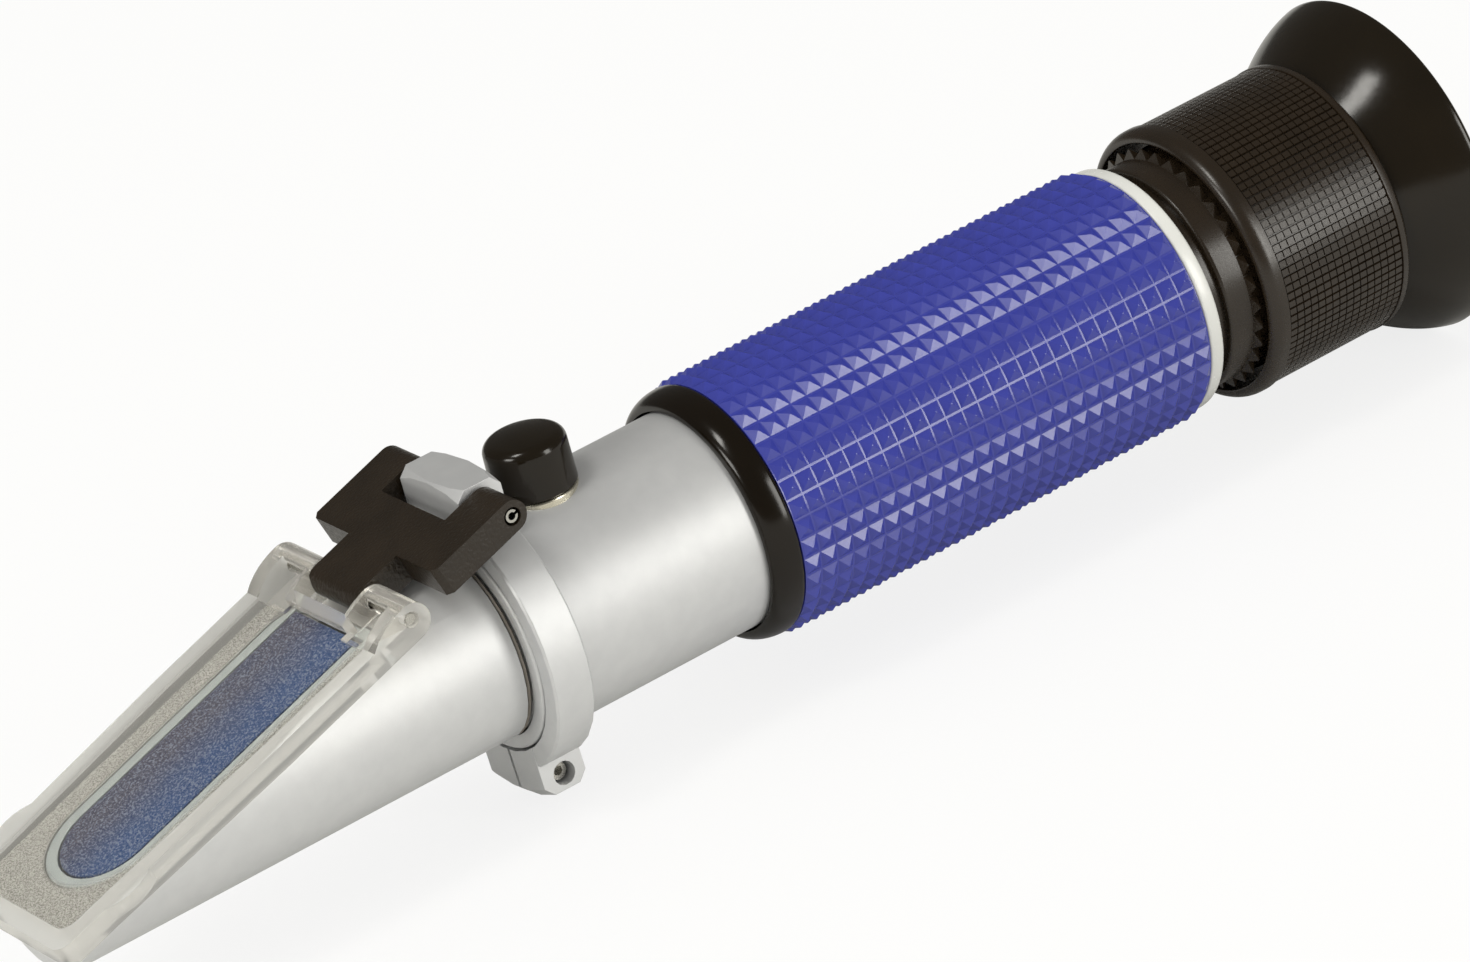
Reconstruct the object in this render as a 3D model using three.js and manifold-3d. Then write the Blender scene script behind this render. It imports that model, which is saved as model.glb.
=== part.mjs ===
// Hand-held colostrum refractometer: slanted prism head with a hinged daylight plate,
// clamp ring with the hinge knuckle, aluminium body tube, ribbed rubber grip and a
// focusing eyepiece with a flared eyecup. Millimetres, +Z up.
// The optical axis runs along X, from the prism (front, -X) to the eye (rear, +X).
// Stations along X are measured from the middle of the clamp ring, right under the hinge pin.

import * as THREE from "three";
import { mergeVertices } from "three/addons/utils/BufferGeometryUtils.js";
import Module from "manifold-3d";

const wasm = await Module();
wasm.setup();

// Clearances
const fit = 0.3; // between pieces that seat in or on each other
const seat = 0.15; // between flat faces that meet end to end
const overrun = 1; // how far a cutting body reaches past what it cuts

// Facets round a full turn
const roundSides = 32;
const innerSides = 20;
const smallSides = 16;

// Body tube
const tubeRadius = 13;
const tubeWall = 1.6;
const tubeFront = -2.5;
const tubeBareLength = 30.25; // from its front end to the grip
const tubeSetback = 0.5; // how far its rear end stays inside the rear collar
const tubeLip = 0.4; // chamfer on the front edge

// Grip: front collar, ribbed sleeve and rear collar, all over the tube
const collarLength = 3.5;
const collarLipHeight = 0.5; // its thin front edge over the tube
const collarStepHeight = 0.15; // its rear edge over the valleys of the sleeve
const collarRoundShare = 0.85; // share of its length that is rounded
const gripHeight = 1.9; // valleys over the tube
const gripPeakHeight = 0.65; // pyramids over their valleys
const gripPitch = 2.18; // along the axis
const gripRows = 26;
const gripColumns = 40;
const rearCollarLength = 1.97;
const rearCollarHeight = 1.9; // over the tube
const rearCollarRound = 0.6; // of its rear edge

// Clamp ring, with the knuckle of the hinge on top and two ears below
const ringFront = -2.35;
const ringRearEdge = 2.6;
const ringWall = 2.3;
const ringChamfer = 0.25;
const knuckleHalfWidth = 5.9;
const knuckleFront = -2.6;
const knuckleRear = 3;
const knuckleLandHeight = 2.106; // its flat top over the hinge pin
const knuckleRimDepth = 0.15; // from its flat top down to where the turned chamfer starts
const knuckleChamfer = 1.2;
const earTurn = THREE.MathUtils.degToRad(-5); // the ears sit this far round from straight below
const earHalfWidth = 5.65;
const earFront = -2.45;
const earRear = 3;
const earLandHeight = 2.7; // outside the axis of the clamp screw
const earChamfer = 1.1;
const ringSplit = 0.5;

// Clamp screw, across the ears
const clampScrewStation = 0.4;
const clampScrewHeight = 0.8; // its axis outside the ring
const clampScrewRadius = 1.05;
const clampScrewRecess = 1.4;
const clampSocketRadius = 0.6;
const clampSocketDepth = 0.9;

// Hinge pin, a rolled spring pin, over the middle of the clamp ring
const hingePinLift = 1.844; // its axis over the ring
const hingePinRadius = 0.75;
const hingePinWall = 0.3;
const hingePinSlit = 0.35;
const hingePinShort = 0.15; // how far it stays inside the wings

// Slanted face of the head. Places on it are measured along it, positive to the rear, from the
// foot of the hinge pin.
const faceSlope = THREE.MathUtils.degToRad(18.07);
const pinHeight = 2.83; // both pins over the slanted face
const pinSpacing = 15.874;

// Hinge block
const blockHalfThickness = 1.82;
const blockHalfWidth = 12.4;
const wingReach = 10.714; // wings ahead of the hinge pin
const slotReach = 4.564; // slot ahead of the hinge pin
const slotPlay = 0.6; // beside the knuckle
const tonguePlay = 0.4; // beside the tongue, in the notch of the plate
const blockCorner = 0.7;

// Plate pin
const platePinRadius = 0.6;
const platePinShort = 0.3;

// Daylight plate, ahead of its pin
const plateReach = 51.54; // front edge ahead of the plate pin
const plateRest = 0.3; // lift of the closed plate off the glass
const plateThickness = 2.6;
const plateHalfWidth = 13.2;
const plateTaperReach = 19.69; // where the sides start to draw in
const plateFrontHalfWidth = 12.4;
const plateCorner = 1.8;
const plateRimWidth = 2.3;
const plateRecess = 0.35;
const plateBarWidth = 1.2; // rear bar between the lugs
const plateNotchHalfWidth = 5.3;
const plateNotchReach = 3.34;
const plateLugRadius = 2.15;
const plateLugHeight = 1.77; // lugs over the plate pin
const plateEarReach = 41.59; // middle of the thumb ears
const plateEarHalfLength = 3.4;
const plateEarWidth = 1.2; // how far they stand out
const plateEarThickness = 1.6;
const platePocketLength = 4;
const platePocketDepth = 1.2;

// Prism, under the plate
const prismSetback = 3.94; // from the plate pin forward to its square rear end
const prismStraightLength = 32.65; // from there to the middle of its round front end
const prismHalfWidth = 6.2;
const prismBed = 5.5; // how far below the optical axis the prism reaches

// Seal bead round the prism
const beadWidth = 1.4;
const beadDepth = 0.8;

// Prism head, a cylinder that the slanted face cuts
const headInset = 1.65; // its surface lies this far inside the tube's
const headFront = -60.6;
const headGap = 0.7; // from its shoulder to the tube, filled by the seal ring
const headNeckDepth = 1.1; // groove that holds the seal ring
const headSpigotLength = 6.2; // part that goes into the tube
const headWall = 2.95; // round the light path behind the prism
const headChamfer = 0.5;

// Head seal ring
const headSealSection = 0.8;

// Calibration screw, bush and cap, on top of the tube
const calibrationSetback = 6.2; // behind the spigot of the head
const screwRadius = 1.5;
const screwSink = 0.6; // how far it lies below the top of the bush
const screwSlotWidth = 0.5;
const screwSlotDepth = 0.8;
const bushWall = 0.8;
const bushLedge = 0.7; // its collar outside its spigot
const bushHeight = 4.6; // over the tube
const bushReach = 0.5; // how far its spigot stands into the tube bore
const capWall = 0.95;
const capRoof = 1.8;
const capFlare = 0.15; // how much wider its top is
const capBeadWidth = 0.25;
const capBeadHeight = 1.1;
const capEdge = 1.6; // rounding of its top edge

// Lens carriage and what it holds, under the calibration screw
const carriageClearance = 2.6; // to the bore of the tube
const carriageLength = 8;
const carriagePadHeight = 0.4; // its flat pad over its round back
const carriagePadHalfWidth = 3;
const carriageWall = 2.5;
const carriageLedge = 1.2; // inner ledge that the lens rests against
const lensLand = 1.4; // flat land round each lens, which its cell holds
const objectiveEdge = 2.4; // edge thickness of the objective lens
const objectiveBulgeHeight = 0.9;
const stripLength = 18;
const stripWidth = 5;
const stripThickness = 0.6;
const springWidth = 5;
const springThickness = 0.35;
const springHalfLength = 5.6;
const springFoot = 1.6;
const springArmShare = 0.35; // share of the half length where the arch reaches its crown

// Scale disc and its retaining ring
const scaleDepth = 23.7; // from the tube's rear end to the shoulder that carries the disc
const scaleShoulderLength = 2;
const scaleShoulderHeight = 1.4;
const scaleDiscThickness = 1.5;
const scaleRingLength = 3;
const scaleRingWall = 1.6;

// Eyepiece tube
const eyeTubeStep = 0.7; // over the body tube
const eyeTubeNeckDepth = 0.9;
const eyeTubeNeckLength = 1.7;
const eyeTubeBandLength = 3.1; // plain band between the neck and the toothed crown
const crownTeeth = 35;
const crownToothHeight = 1.1; // over the band
const crownLength = 1;
const eyeTubeSpigotLength = 12;
const eyeTubeGap = 2; // from its rear end to the web of the focus ring, room for focusing
const eyeTubeWall = 1.2; // of its spigot

// Focus ring, round the eyepiece tube
const focusRingSetback = 5.65; // behind the shoulder of the eyepiece tube
const focusRingLength = 19.8;
const focusRingWall = 2.9;
const ringLipLength = 2.4;
const ringLipRound = 1.6; // of its front edge, along the axis
const ringLipRoundHeight = 1.1;
const ringLipWall = 1.4;
const knurlInset = 0.2; // ribs inside the front lip
const knurlDepth = 0.3;
const knurlRibs = 88;
const rearRimLength = 1.1;
const rearRimInset = 0.1;
const ringMouthDepth = 3;
const ringWebLength = 2.8;

// Focus sleeve and its lenses
const sleeveSetback = 3.65; // behind the shoulder of the eyepiece tube
const sleeveStandOut = 0.6; // past the rear of the focus ring
const sleeveWall = 1.4;
const sleeveLedge = 1.4;
const sleeveLedgeLength = 1.5;
const fieldLensEdge = 2;
const fieldLensBulgeHeight = 1.1;
const spacerLength = 9;
const spacerWall = 1;
const eyeLensEdge = 2.2;
const eyeLensBulgeHeight = 1;
const lensRingLength = 2;
const lensRingWall = 1.2;

// Eyecup
const cupLength = 9.5;
const cupNeckInset = 1.1; // inside the front lip of the focus ring
const cupFlare = 4.8;
const cupBellShare = 0.6; // how far the flare bows out from a plain cone
const cupWall = 1.1;
const cupFloor = 1.4;
const cupRimRound = 0.35;

// Radii and heights that follow the body tube
const boreRadius = tubeRadius - tubeWall;
const gripValleyRadius = tubeRadius + gripHeight;
const gripPeakRadius = gripValleyRadius + gripPeakHeight;
const collarRadius = gripValleyRadius + collarStepHeight;
const collarLipRadius = tubeRadius + collarLipHeight;
const rearCollarRadius = tubeRadius + rearCollarHeight;
const ringRadius = tubeRadius + fit + ringWall;
const hingePinHeight = ringRadius + hingePinLift;
const knuckleTop = hingePinHeight + knuckleLandHeight;
const knuckleRim = knuckleTop - knuckleRimDepth;
const clampScrewDepth = ringRadius + clampScrewHeight;
const earRadius = clampScrewDepth + earLandHeight;
const headRadius = tubeRadius - headInset;
const headBoreRadius = headRadius - headWall;
const bushSpigotRadius = screwRadius + fit + bushWall;
const bushRadius = bushSpigotRadius + bushLedge;
const bushTop = tubeRadius + bushHeight;
const screwTop = bushTop - screwSink;
const capFootRadius = bushRadius + fit + capWall;
const capBeadRadius = capFootRadius + capBeadWidth;
const capTopRadius = capFootRadius + capFlare;
const capTop = bushTop + fit + capRoof;
const carriageRadius = boreRadius - carriageClearance;
const carriagePad = carriageRadius + carriagePadHeight;
const carriageBoreRadius = carriageRadius - carriageWall;
const screwFoot = carriagePad + fit;
const eyeTubeRadius = tubeRadius + eyeTubeStep;
const eyeTubeNeckRadius = eyeTubeRadius - eyeTubeNeckDepth;
const crownTipRadius = eyeTubeRadius + crownToothHeight;
const eyeTubeBore = boreRadius - fit - eyeTubeWall;
const sleeveRadius = eyeTubeBore - fit;
const sleeveBore = sleeveRadius - sleeveWall;
const sleeveLensRadius = sleeveBore - fit;
const ringLipRadius = eyeTubeRadius + focusRingWall;
const ringMouthRadius = ringLipRadius - ringLipWall;
const knurlRadius = ringLipRadius - knurlInset;
const rearRimRadius = ringLipRadius - rearRimInset;
const cupNeckRadius = ringLipRadius - cupNeckInset;
const cupRimRadius = cupNeckRadius + cupFlare;

// Stations that follow each other from front to rear
const headRear = tubeFront - headGap;
const headSpigotRear = tubeFront + headSpigotLength;
const calibrationStation = headSpigotRear + calibrationSetback;
const collarFront = tubeFront + tubeBareLength;
const gripFront = collarFront + collarLength + seat;
const gripLength = gripPitch * gripRows;
const rearCollarFront = gripFront + gripLength + seat;
const rearCollarRear = rearCollarFront + rearCollarLength;
const tubeRear = rearCollarRear - tubeSetback;
const scaleShoulder = tubeRear - scaleDepth;
const eyeTubeShoulder = rearCollarRear + seat;
const ringLipFront = eyeTubeShoulder + focusRingSetback;
const ringRear = ringLipFront + focusRingLength;
const ringWebFront = ringRear - ringWebLength;
const eyeTubeRear = ringWebFront - eyeTubeGap;
const sleeveFront = eyeTubeShoulder + sleeveSetback;
const sleeveRear = ringRear + sleeveStandOut;
const fieldLensMiddle = sleeveFront + sleeveLedgeLength + seat + fieldLensEdge / 2;
const spacerFront = fieldLensMiddle + fieldLensEdge / 2 + seat;
const eyeLensMiddle = spacerFront + spacerLength + seat + eyeLensEdge / 2;
const lensRingFront = eyeLensMiddle + eyeLensEdge / 2 + seat;
const cupFront = ringRear + seat;
const cupRear = cupFront + cupLength;

// Places on the slanted face
const faceFootX = pinHeight * Math.sin(faceSlope);
const faceFootZ = hingePinHeight - pinHeight * Math.cos(faceSlope);
const platePinPlace = -pinSpacing;
const plateFront = platePinPlace - plateReach;
const plateTaperStart = platePinPlace - plateTaperReach;
const plateEarCentre = platePinPlace - plateEarReach;
const plateNotchFront = platePinPlace - plateNotchReach;
const plateLugTop = pinHeight + plateLugHeight;
const wingFront = -wingReach;
const slotFront = -slotReach;
const slotHalfWidth = knuckleHalfWidth + slotPlay;
const tongueHalfWidth = plateNotchHalfWidth - tonguePlay;
const prismRear = platePinPlace - prismSetback;
const prismArcCentre = prismRear - prismStraightLength;

// Colours and finishes
const finishes = {
  aluminium: { color: 0xb9b9b7, roughness: 0.38, metalness: 1 },
  steel: { color: 0xcfcfcc, roughness: 0.25, metalness: 1 },
  brass: { color: 0xb9a26a, roughness: 0.35, metalness: 1 },
  casting: { color: 0x2c2620, roughness: 0.55, metalness: 0 },
  blackGloss: { color: 0x12100e, roughness: 0.12, metalness: 0 },
  blackSatin: { color: 0x24211e, roughness: 0.4, metalness: 0 },
  blueRubber: { color: 0x3b3c9c, roughness: 0.45, metalness: 0 },
  paleRing: { color: 0xd0cfc5, roughness: 0.3, metalness: 0 },
  acrylic: { color: 0xd8d4cc, roughness: 0.15, metalness: 0 },
  prismGlass: { color: 0x5f6d8f, roughness: 0.2, metalness: 0 },
  glass: { color: 0xc8d4d8, roughness: 0.03, metalness: 0 },
  sealant: { color: 0xb9c2c4, roughness: 0.5, metalness: 0 },
  sealRubber: { color: 0x1a1918, roughness: 0.6, metalness: 0 },
  bimetal: { color: 0xa98e5c, roughness: 0.4, metalness: 1 },
};

const root = new THREE.Group();

// Adds one named piece to a group.
function place(group, name, geometry, finish) {
  const mesh = new THREE.Mesh(geometry, new THREE.MeshStandardMaterial(finishes[finish]));
  mesh.name = name;
  group.add(mesh);
  return mesh;
}

// A geometry as a manifold-3d solid.
function solid(geometry) {
  const bare = geometry.clone();
  bare.deleteAttribute("normal");
  bare.deleteAttribute("uv");
  const merged = mergeVertices(bare);
  return new wasm.Manifold(
    new wasm.Mesh({
      numProp: 3,
      vertProperties: new Float32Array(merged.attributes.position.array),
      triVerts: new Uint32Array(merged.index.array),
    }),
  );
}

// A manifold-3d solid as a geometry.
function toGeometry(body) {
  const mesh = body.getMesh();
  const geometry = new THREE.BufferGeometry();
  geometry.setAttribute("position", new THREE.BufferAttribute(mesh.vertProperties, 3));
  geometry.setIndex(new THREE.BufferAttribute(mesh.triVerts, 1));
  geometry.computeVertexNormals();
  return geometry;
}

// A body turned round the optical axis from closed outline points [station, radius].
function turned(outline, sides = roundSides) {
  let area = 0;
  outline.forEach(([x, r], i) => {
    const [nextX, nextR] = outline[(i + 1) % outline.length];
    area += x * nextR - nextX * r;
  });
  const ordered = area > 0 ? [...outline].reverse() : outline;
  const points = ordered.map(([x, r]) => new THREE.Vector2(r, x));
  points.push(points[0].clone());
  return new THREE.LatheGeometry(points, sides).rotateZ(-Math.PI / 2);
}

// The same outline turned round the vertical axis, as [height, radius].
function turnedUpright(outline, sides = smallSides) {
  return turned(outline, sides).rotateY(-Math.PI / 2);
}

// Points of a quarter round at the end of a turned outline, from its outside to its end face.
// A negative length rounds a front end.
function quarterRound(end, radius, length, height, steps = 3) {
  const points = [];
  for (let i = 0; i <= steps; i++) {
    const turn = (i / steps) * (Math.PI / 2);
    points.push([end - length * (1 - Math.sin(turn)), radius - height * (1 - Math.cos(turn))]);
  }
  return points;
}

// An outline of points [x, z] in the XZ plane, as deep as given each way from y = 0.
function sidePlate(points, halfWidth) {
  const shape = new THREE.Shape(points.map(([x, z]) => new THREE.Vector2(x, z)));
  const geometry = new THREE.ExtrudeGeometry(shape, { depth: 2 * halfWidth, bevelEnabled: false });
  return geometry.rotateX(Math.PI / 2).translate(0, halfWidth, 0);
}

// A flat outline, given as a THREE.Shape in X and Y, between two heights.
function slab(shape, low, high, curveSegments = 8) {
  const options = { depth: high - low, bevelEnabled: false, curveSegments };
  return new THREE.ExtrudeGeometry(shape, options).translate(0, 0, low);
}

// A box between two corners.
function block([x0, y0, z0], [x1, y1, z1]) {
  const geometry = new THREE.BoxGeometry(x1 - x0, y1 - y0, z1 - z0);
  return geometry.translate((x0 + x1) / 2, (y0 + y1) / 2, (z0 + z1) / 2);
}

// A cylinder along Y, through (x, z).
function crossRod(radius, halfLength, x, z, sides = smallSides) {
  const geometry = new THREE.CylinderGeometry(radius, radius, 2 * halfLength, sides);
  return geometry.translate(x, 0, z);
}

// A point of the slanted face, along it and above it, as [x, z].
function facePoint(along, above) {
  const x = faceFootX + along * Math.cos(faceSlope) - above * Math.sin(faceSlope);
  const z = faceFootZ + along * Math.sin(faceSlope) + above * Math.cos(faceSlope);
  return [x, z];
}

// Moves a geometry from the slanted face's own frame into the part's frame.
function fromFace(geometry) {
  return geometry.rotateY(-faceSlope).translate(faceFootX, 0, faceFootZ);
}

// The outline of the prism, grown by a margin: square at the rear, round at the front.
function prismOutline(margin) {
  const half = prismHalfWidth + margin;
  const shape = new THREE.Shape();
  shape.moveTo(prismRear + margin, -half);
  shape.lineTo(prismRear + margin, half);
  shape.lineTo(prismArcCentre, half);
  shape.absarc(prismArcCentre, 0, half, Math.PI / 2, 1.5 * Math.PI, false);
  shape.closePath();
  return shape;
}

// The prism, grown by a margin: a slanted slab with a level bed and an upright rear face.
function prismBody(margin, rearFace) {
  const depth = prismStraightLength;
  const slanted = solid(fromFace(slab(prismOutline(margin), -depth, margin > 0 ? overrun : 0)));
  const room = block(
    [headFront, -headRadius, -prismBed - margin],
    [rearFace, headRadius, 2 * headRadius],
  );
  return slanted.intersect(solid(room));
}

function prismHead() {
  const neckRadius = headRadius - headNeckDepth;
  const spigotRadius = boreRadius - fit;
  const outline = [
    [headFront, 0],
    [headFront, headRadius - headChamfer],
    [headFront + headChamfer, headRadius],
    [headRear, headRadius],
    [headRear, neckRadius],
    [tubeFront + seat, neckRadius],
    [tubeFront + seat, spigotRadius],
    [headSpigotRear, spigotRadius],
    [headSpigotRear, 0],
  ];
  const [prismRearX] = facePoint(prismRear, 0);
  const bore = turned([
    [prismRearX - overrun, 0],
    [prismRearX - overrun, headBoreRadius],
    [headSpigotRear + overrun, headBoreRadius],
    [headSpigotRear + overrun, 0],
  ]);
  const reach = 2 * (headRear - headFront);
  const above = fromFace(block([-reach, -2 * headRadius, 0], [reach, 2 * headRadius, reach]));
  const rebate = fromFace(slab(prismOutline(fit + beadWidth + fit), -beadDepth - fit, overrun));
  return toGeometry(
    solid(turned(outline))
      .subtract(solid(above))
      .subtract(prismBody(fit, prismRearX))
      .subtract(solid(rebate))
      .subtract(solid(bore)),
  );
}

function mainPrism() {
  const [prismRearX] = facePoint(prismRear, 0);
  return toGeometry(prismBody(0, prismRearX - fit));
}

function prismSeal() {
  const outer = solid(fromFace(slab(prismOutline(fit + beadWidth), -beadDepth, 0)));
  const inner = solid(fromFace(slab(prismOutline(fit), -beadDepth - overrun, overrun)));
  const inside = turned([
    [headFront, 0],
    [headFront, headRadius - fit],
    [headRear, headRadius - fit],
    [headRear, 0],
  ]);
  return toGeometry(outer.subtract(inner).intersect(solid(inside)));
}

function headSeal() {
  const low = headRadius - headNeckDepth + fit;
  const middle = (headRear + tubeFront) / 2;
  const half = Math.min(headSealSection, tubeFront - headRear - 2 * seat) / 2;
  const high = low + headSealSection;
  return turned([
    [middle - half, low],
    [middle + half, low],
    [middle + half, high - half],
    [middle, high],
    [middle - half, high - half],
  ]);
}

// Outline of the plate: straight sides that draw in to the front, with a thumb ear each side.
function plateOutline(margin) {
  const wide = plateHalfWidth - margin;
  const narrow = plateFrontHalfWidth - margin;
  const front = plateFront + margin;
  const earFront = plateEarCentre - plateEarHalfLength;
  const shape = new THREE.Shape();
  shape.moveTo(platePinPlace, wide);
  shape.lineTo(plateTaperStart, wide);
  shape.lineTo(earFront, narrow);
  shape.lineTo(front + plateCorner, narrow);
  shape.absarc(front + plateCorner, narrow - plateCorner, plateCorner, Math.PI / 2, Math.PI, false);
  shape.absarc(front + plateCorner, plateCorner - narrow, plateCorner, Math.PI, 1.5 * Math.PI, false);
  shape.lineTo(earFront, -narrow);
  shape.lineTo(plateTaperStart, -wide);
  shape.lineTo(platePinPlace, -wide);
  shape.closePath();
  return shape;
}

// One thumb ear, or its hollow, on the +Y side: a flat arc that stands out of the straight side.
function earOutline(reach) {
  const base = plateFrontHalfWidth - plateRimWidth;
  const tip = plateFrontHalfWidth + reach;
  const half = plateEarHalfLength;
  const shape = new THREE.Shape();
  shape.moveTo(plateEarCentre - half, base);
  shape.lineTo(plateEarCentre + half, base);
  shape.lineTo(plateEarCentre + half, plateFrontHalfWidth + reach - plateEarWidth);
  shape.quadraticCurveTo(plateEarCentre + half / 2, tip, plateEarCentre, tip);
  shape.quadraticCurveTo(
    plateEarCentre - half / 2, tip,
    plateEarCentre - half, plateFrontHalfWidth + reach - plateEarWidth,
  );
  shape.closePath();
  return shape;
}

function daylightPlate() {
  const low = plateRest;
  const high = plateRest + plateThickness;
  let body = solid(slab(plateOutline(0), low, high));
  const lugMiddle = (plateLugTop + plateRest) / 2;
  const lugSide = new THREE.Shape();
  lugSide.moveTo(platePinPlace, low);
  lugSide.absarc(platePinPlace, lugMiddle, plateLugTop - lugMiddle, -Math.PI / 2, Math.PI / 2, false);
  lugSide.quadraticCurveTo(plateNotchFront, plateLugTop, plateNotchFront - plateLugRadius, high);
  lugSide.lineTo(plateNotchFront - plateLugRadius, low);
  lugSide.closePath();
  const lugs = new THREE.ExtrudeGeometry(lugSide, {
    depth: 2 * plateHalfWidth,
    bevelEnabled: false,
    curveSegments: 8,
  });
  body = body.add(solid(lugs.rotateX(Math.PI / 2).translate(0, plateHalfWidth, 0)));
  for (const side of [1, -1]) {
    const ear = slab(earOutline(plateEarWidth), high - plateEarThickness, high, 4);
    const placed = side > 0 ? ear : ear.rotateX(Math.PI).translate(0, 0, 2 * high - plateEarThickness);
    body = body.add(solid(placed));
  }
  const rear = platePinPlace + plateLugTop + overrun;
  const notch = block(
    [plateNotchFront, -plateNotchHalfWidth, -overrun],
    [rear, plateNotchHalfWidth, plateLugTop + overrun],
  );
  body = body.subtract(solid(notch));
  const recessRear = plateNotchFront - plateBarWidth;
  const recessed = solid(slab(plateOutline(plateRimWidth), high - plateRecess, high + overrun));
  const recessRoom = block(
    [plateFront, -plateHalfWidth, high - plateRecess],
    [recessRear, plateHalfWidth, high + overrun],
  );
  body = body.subtract(recessed.intersect(solid(recessRoom)));
  const pocketWall = plateBarWidth / 2;
  for (const side of [1, -1]) {
    const inner = side * (plateNotchHalfWidth + pocketWall);
    const outer = side * (plateHalfWidth - plateRimWidth);
    const pocket = block(
      [recessRear - overrun, Math.min(inner, outer), high - platePocketDepth],
      [recessRear + platePocketLength, Math.max(inner, outer), plateLugTop + overrun],
    );
    body = body.subtract(solid(pocket));
  }
  const bore = crossRod(platePinRadius + fit, plateHalfWidth + overrun, platePinPlace, pinHeight);
  return toGeometry(body.subtract(solid(bore)));
}

// Side outline of the hinge block's wings or tongue: a bar with a round end about a pin.
function barOutline(squareEnd, pinPlace, toRear) {
  const half = blockHalfThickness;
  const shape = new THREE.Shape();
  const start = toRear ? -Math.PI / 2 : Math.PI / 2;
  shape.moveTo(squareEnd, pinHeight + (toRear ? -half : half));
  shape.lineTo(pinPlace, pinHeight + (toRear ? -half : half));
  shape.absarc(pinPlace, pinHeight, half, start, start + Math.PI, false);
  shape.lineTo(squareEnd, pinHeight + (toRear ? half : -half));
  shape.closePath();
  return shape;
}

function acrossFace(shape, halfWidth) {
  const options = { depth: 2 * halfWidth, bevelEnabled: false, curveSegments: 8 };
  return new THREE.ExtrudeGeometry(shape, options).rotateX(Math.PI / 2).translate(0, halfWidth, 0);
}

function hingeBlock() {
  const half = blockHalfThickness;
  const plan = new THREE.Shape();
  const corner = blockCorner;
  plan.moveTo(wingFront + corner, -blockHalfWidth);
  plan.lineTo(2 * half, -blockHalfWidth);
  plan.lineTo(2 * half, blockHalfWidth);
  plan.lineTo(wingFront + corner, blockHalfWidth);
  plan.lineTo(wingFront, blockHalfWidth - corner);
  plan.lineTo(wingFront, corner - blockHalfWidth);
  plan.closePath();
  const wings = solid(acrossFace(barOutline(wingFront, 0, true), blockHalfWidth)).intersect(
    solid(slab(plan, -overrun, 2 * plateLugTop)),
  );
  const tongueFront = platePinPlace - half;
  const tonguePlan = new THREE.Shape();
  tonguePlan.moveTo(wingFront + overrun, -tongueHalfWidth);
  tonguePlan.lineTo(wingFront + overrun, tongueHalfWidth);
  tonguePlan.lineTo(tongueFront + corner, tongueHalfWidth);
  tonguePlan.lineTo(tongueFront, tongueHalfWidth - corner);
  tonguePlan.lineTo(tongueFront, corner - tongueHalfWidth);
  tonguePlan.lineTo(tongueFront + corner, -tongueHalfWidth);
  tonguePlan.closePath();
  const tongue = solid(
    acrossFace(barOutline(wingFront + overrun, platePinPlace, false), tongueHalfWidth),
  ).intersect(solid(slab(tonguePlan, -overrun, 2 * plateLugTop)));
  const slot = block(
    [slotFront, -slotHalfWidth, -overrun],
    [2 * half + overrun, slotHalfWidth, 2 * plateLugTop],
  );
  const reach = blockHalfWidth + overrun;
  const hingeBore = crossRod(hingePinRadius + fit, reach, 0, pinHeight);
  const plateBore = crossRod(platePinRadius + fit, reach, platePinPlace, pinHeight);
  return toGeometry(
    wings
      .add(tongue)
      .subtract(solid(slot))
      .subtract(solid(hingeBore))
      .subtract(solid(plateBore)),
  );
}

function hingePin() {
  const half = blockHalfWidth - hingePinShort;
  const rod = solid(crossRod(hingePinRadius, half, 0, pinHeight));
  const hollow = crossRod(hingePinRadius - hingePinWall, half + overrun, 0, pinHeight);
  const slit = block(
    [0, -half - overrun, pinHeight - hingePinSlit / 2],
    [2 * hingePinRadius, half + overrun, pinHeight + hingePinSlit / 2],
  );
  return toGeometry(rod.subtract(solid(hollow)).subtract(solid(slit)));
}

function platePin() {
  return crossRod(platePinRadius, plateHalfWidth - platePinShort, platePinPlace, pinHeight);
}

// A turned flange with chamfered edges, from which knuckle and ears are milled.
function flange(front, rear, radius, chamfer) {
  return solid(
    turned([
      [front, tubeRadius + fit],
      [front, radius - chamfer],
      [front + chamfer, radius],
      [rear - chamfer, radius],
      [rear, radius - chamfer],
      [rear, tubeRadius + fit],
    ]),
  );
}

function clampRing() {
  const ring = flange(ringFront, ringRearEdge, ringRadius, ringChamfer);
  const knuckleRoom = block(
    [knuckleFront - overrun, -knuckleHalfWidth, 0],
    [knuckleRear + overrun, knuckleHalfWidth, knuckleTop],
  );
  const knuckle = flange(
    knuckleFront,
    knuckleRear,
    knuckleRim + knuckleChamfer,
    knuckleChamfer,
  ).intersect(solid(knuckleRoom));
  const earRoom = block(
    [earFront - overrun, -earHalfWidth, -earRadius - overrun],
    [earRear + overrun, earHalfWidth, 0],
  ).rotateX(earTurn);
  const ears = flange(earFront, earRear, earRadius, earChamfer).intersect(solid(earRoom));
  const split = block(
    [earFront - overrun, -ringSplit / 2, -earRadius - overrun],
    [earRear + overrun, ringSplit / 2, -tubeRadius],
  ).rotateX(earTurn);
  const screwBore = crossRod(
    clampScrewRadius + fit,
    earHalfWidth + overrun,
    clampScrewStation,
    -clampScrewDepth,
  ).rotateX(earTurn);
  const pinBore = crossRod(hingePinRadius + fit, knuckleHalfWidth + overrun, 0, hingePinHeight);
  return toGeometry(
    ring
      .add(knuckle)
      .add(ears)
      .subtract(solid(split))
      .subtract(solid(screwBore))
      .subtract(solid(pinBore)),
  );
}

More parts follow.
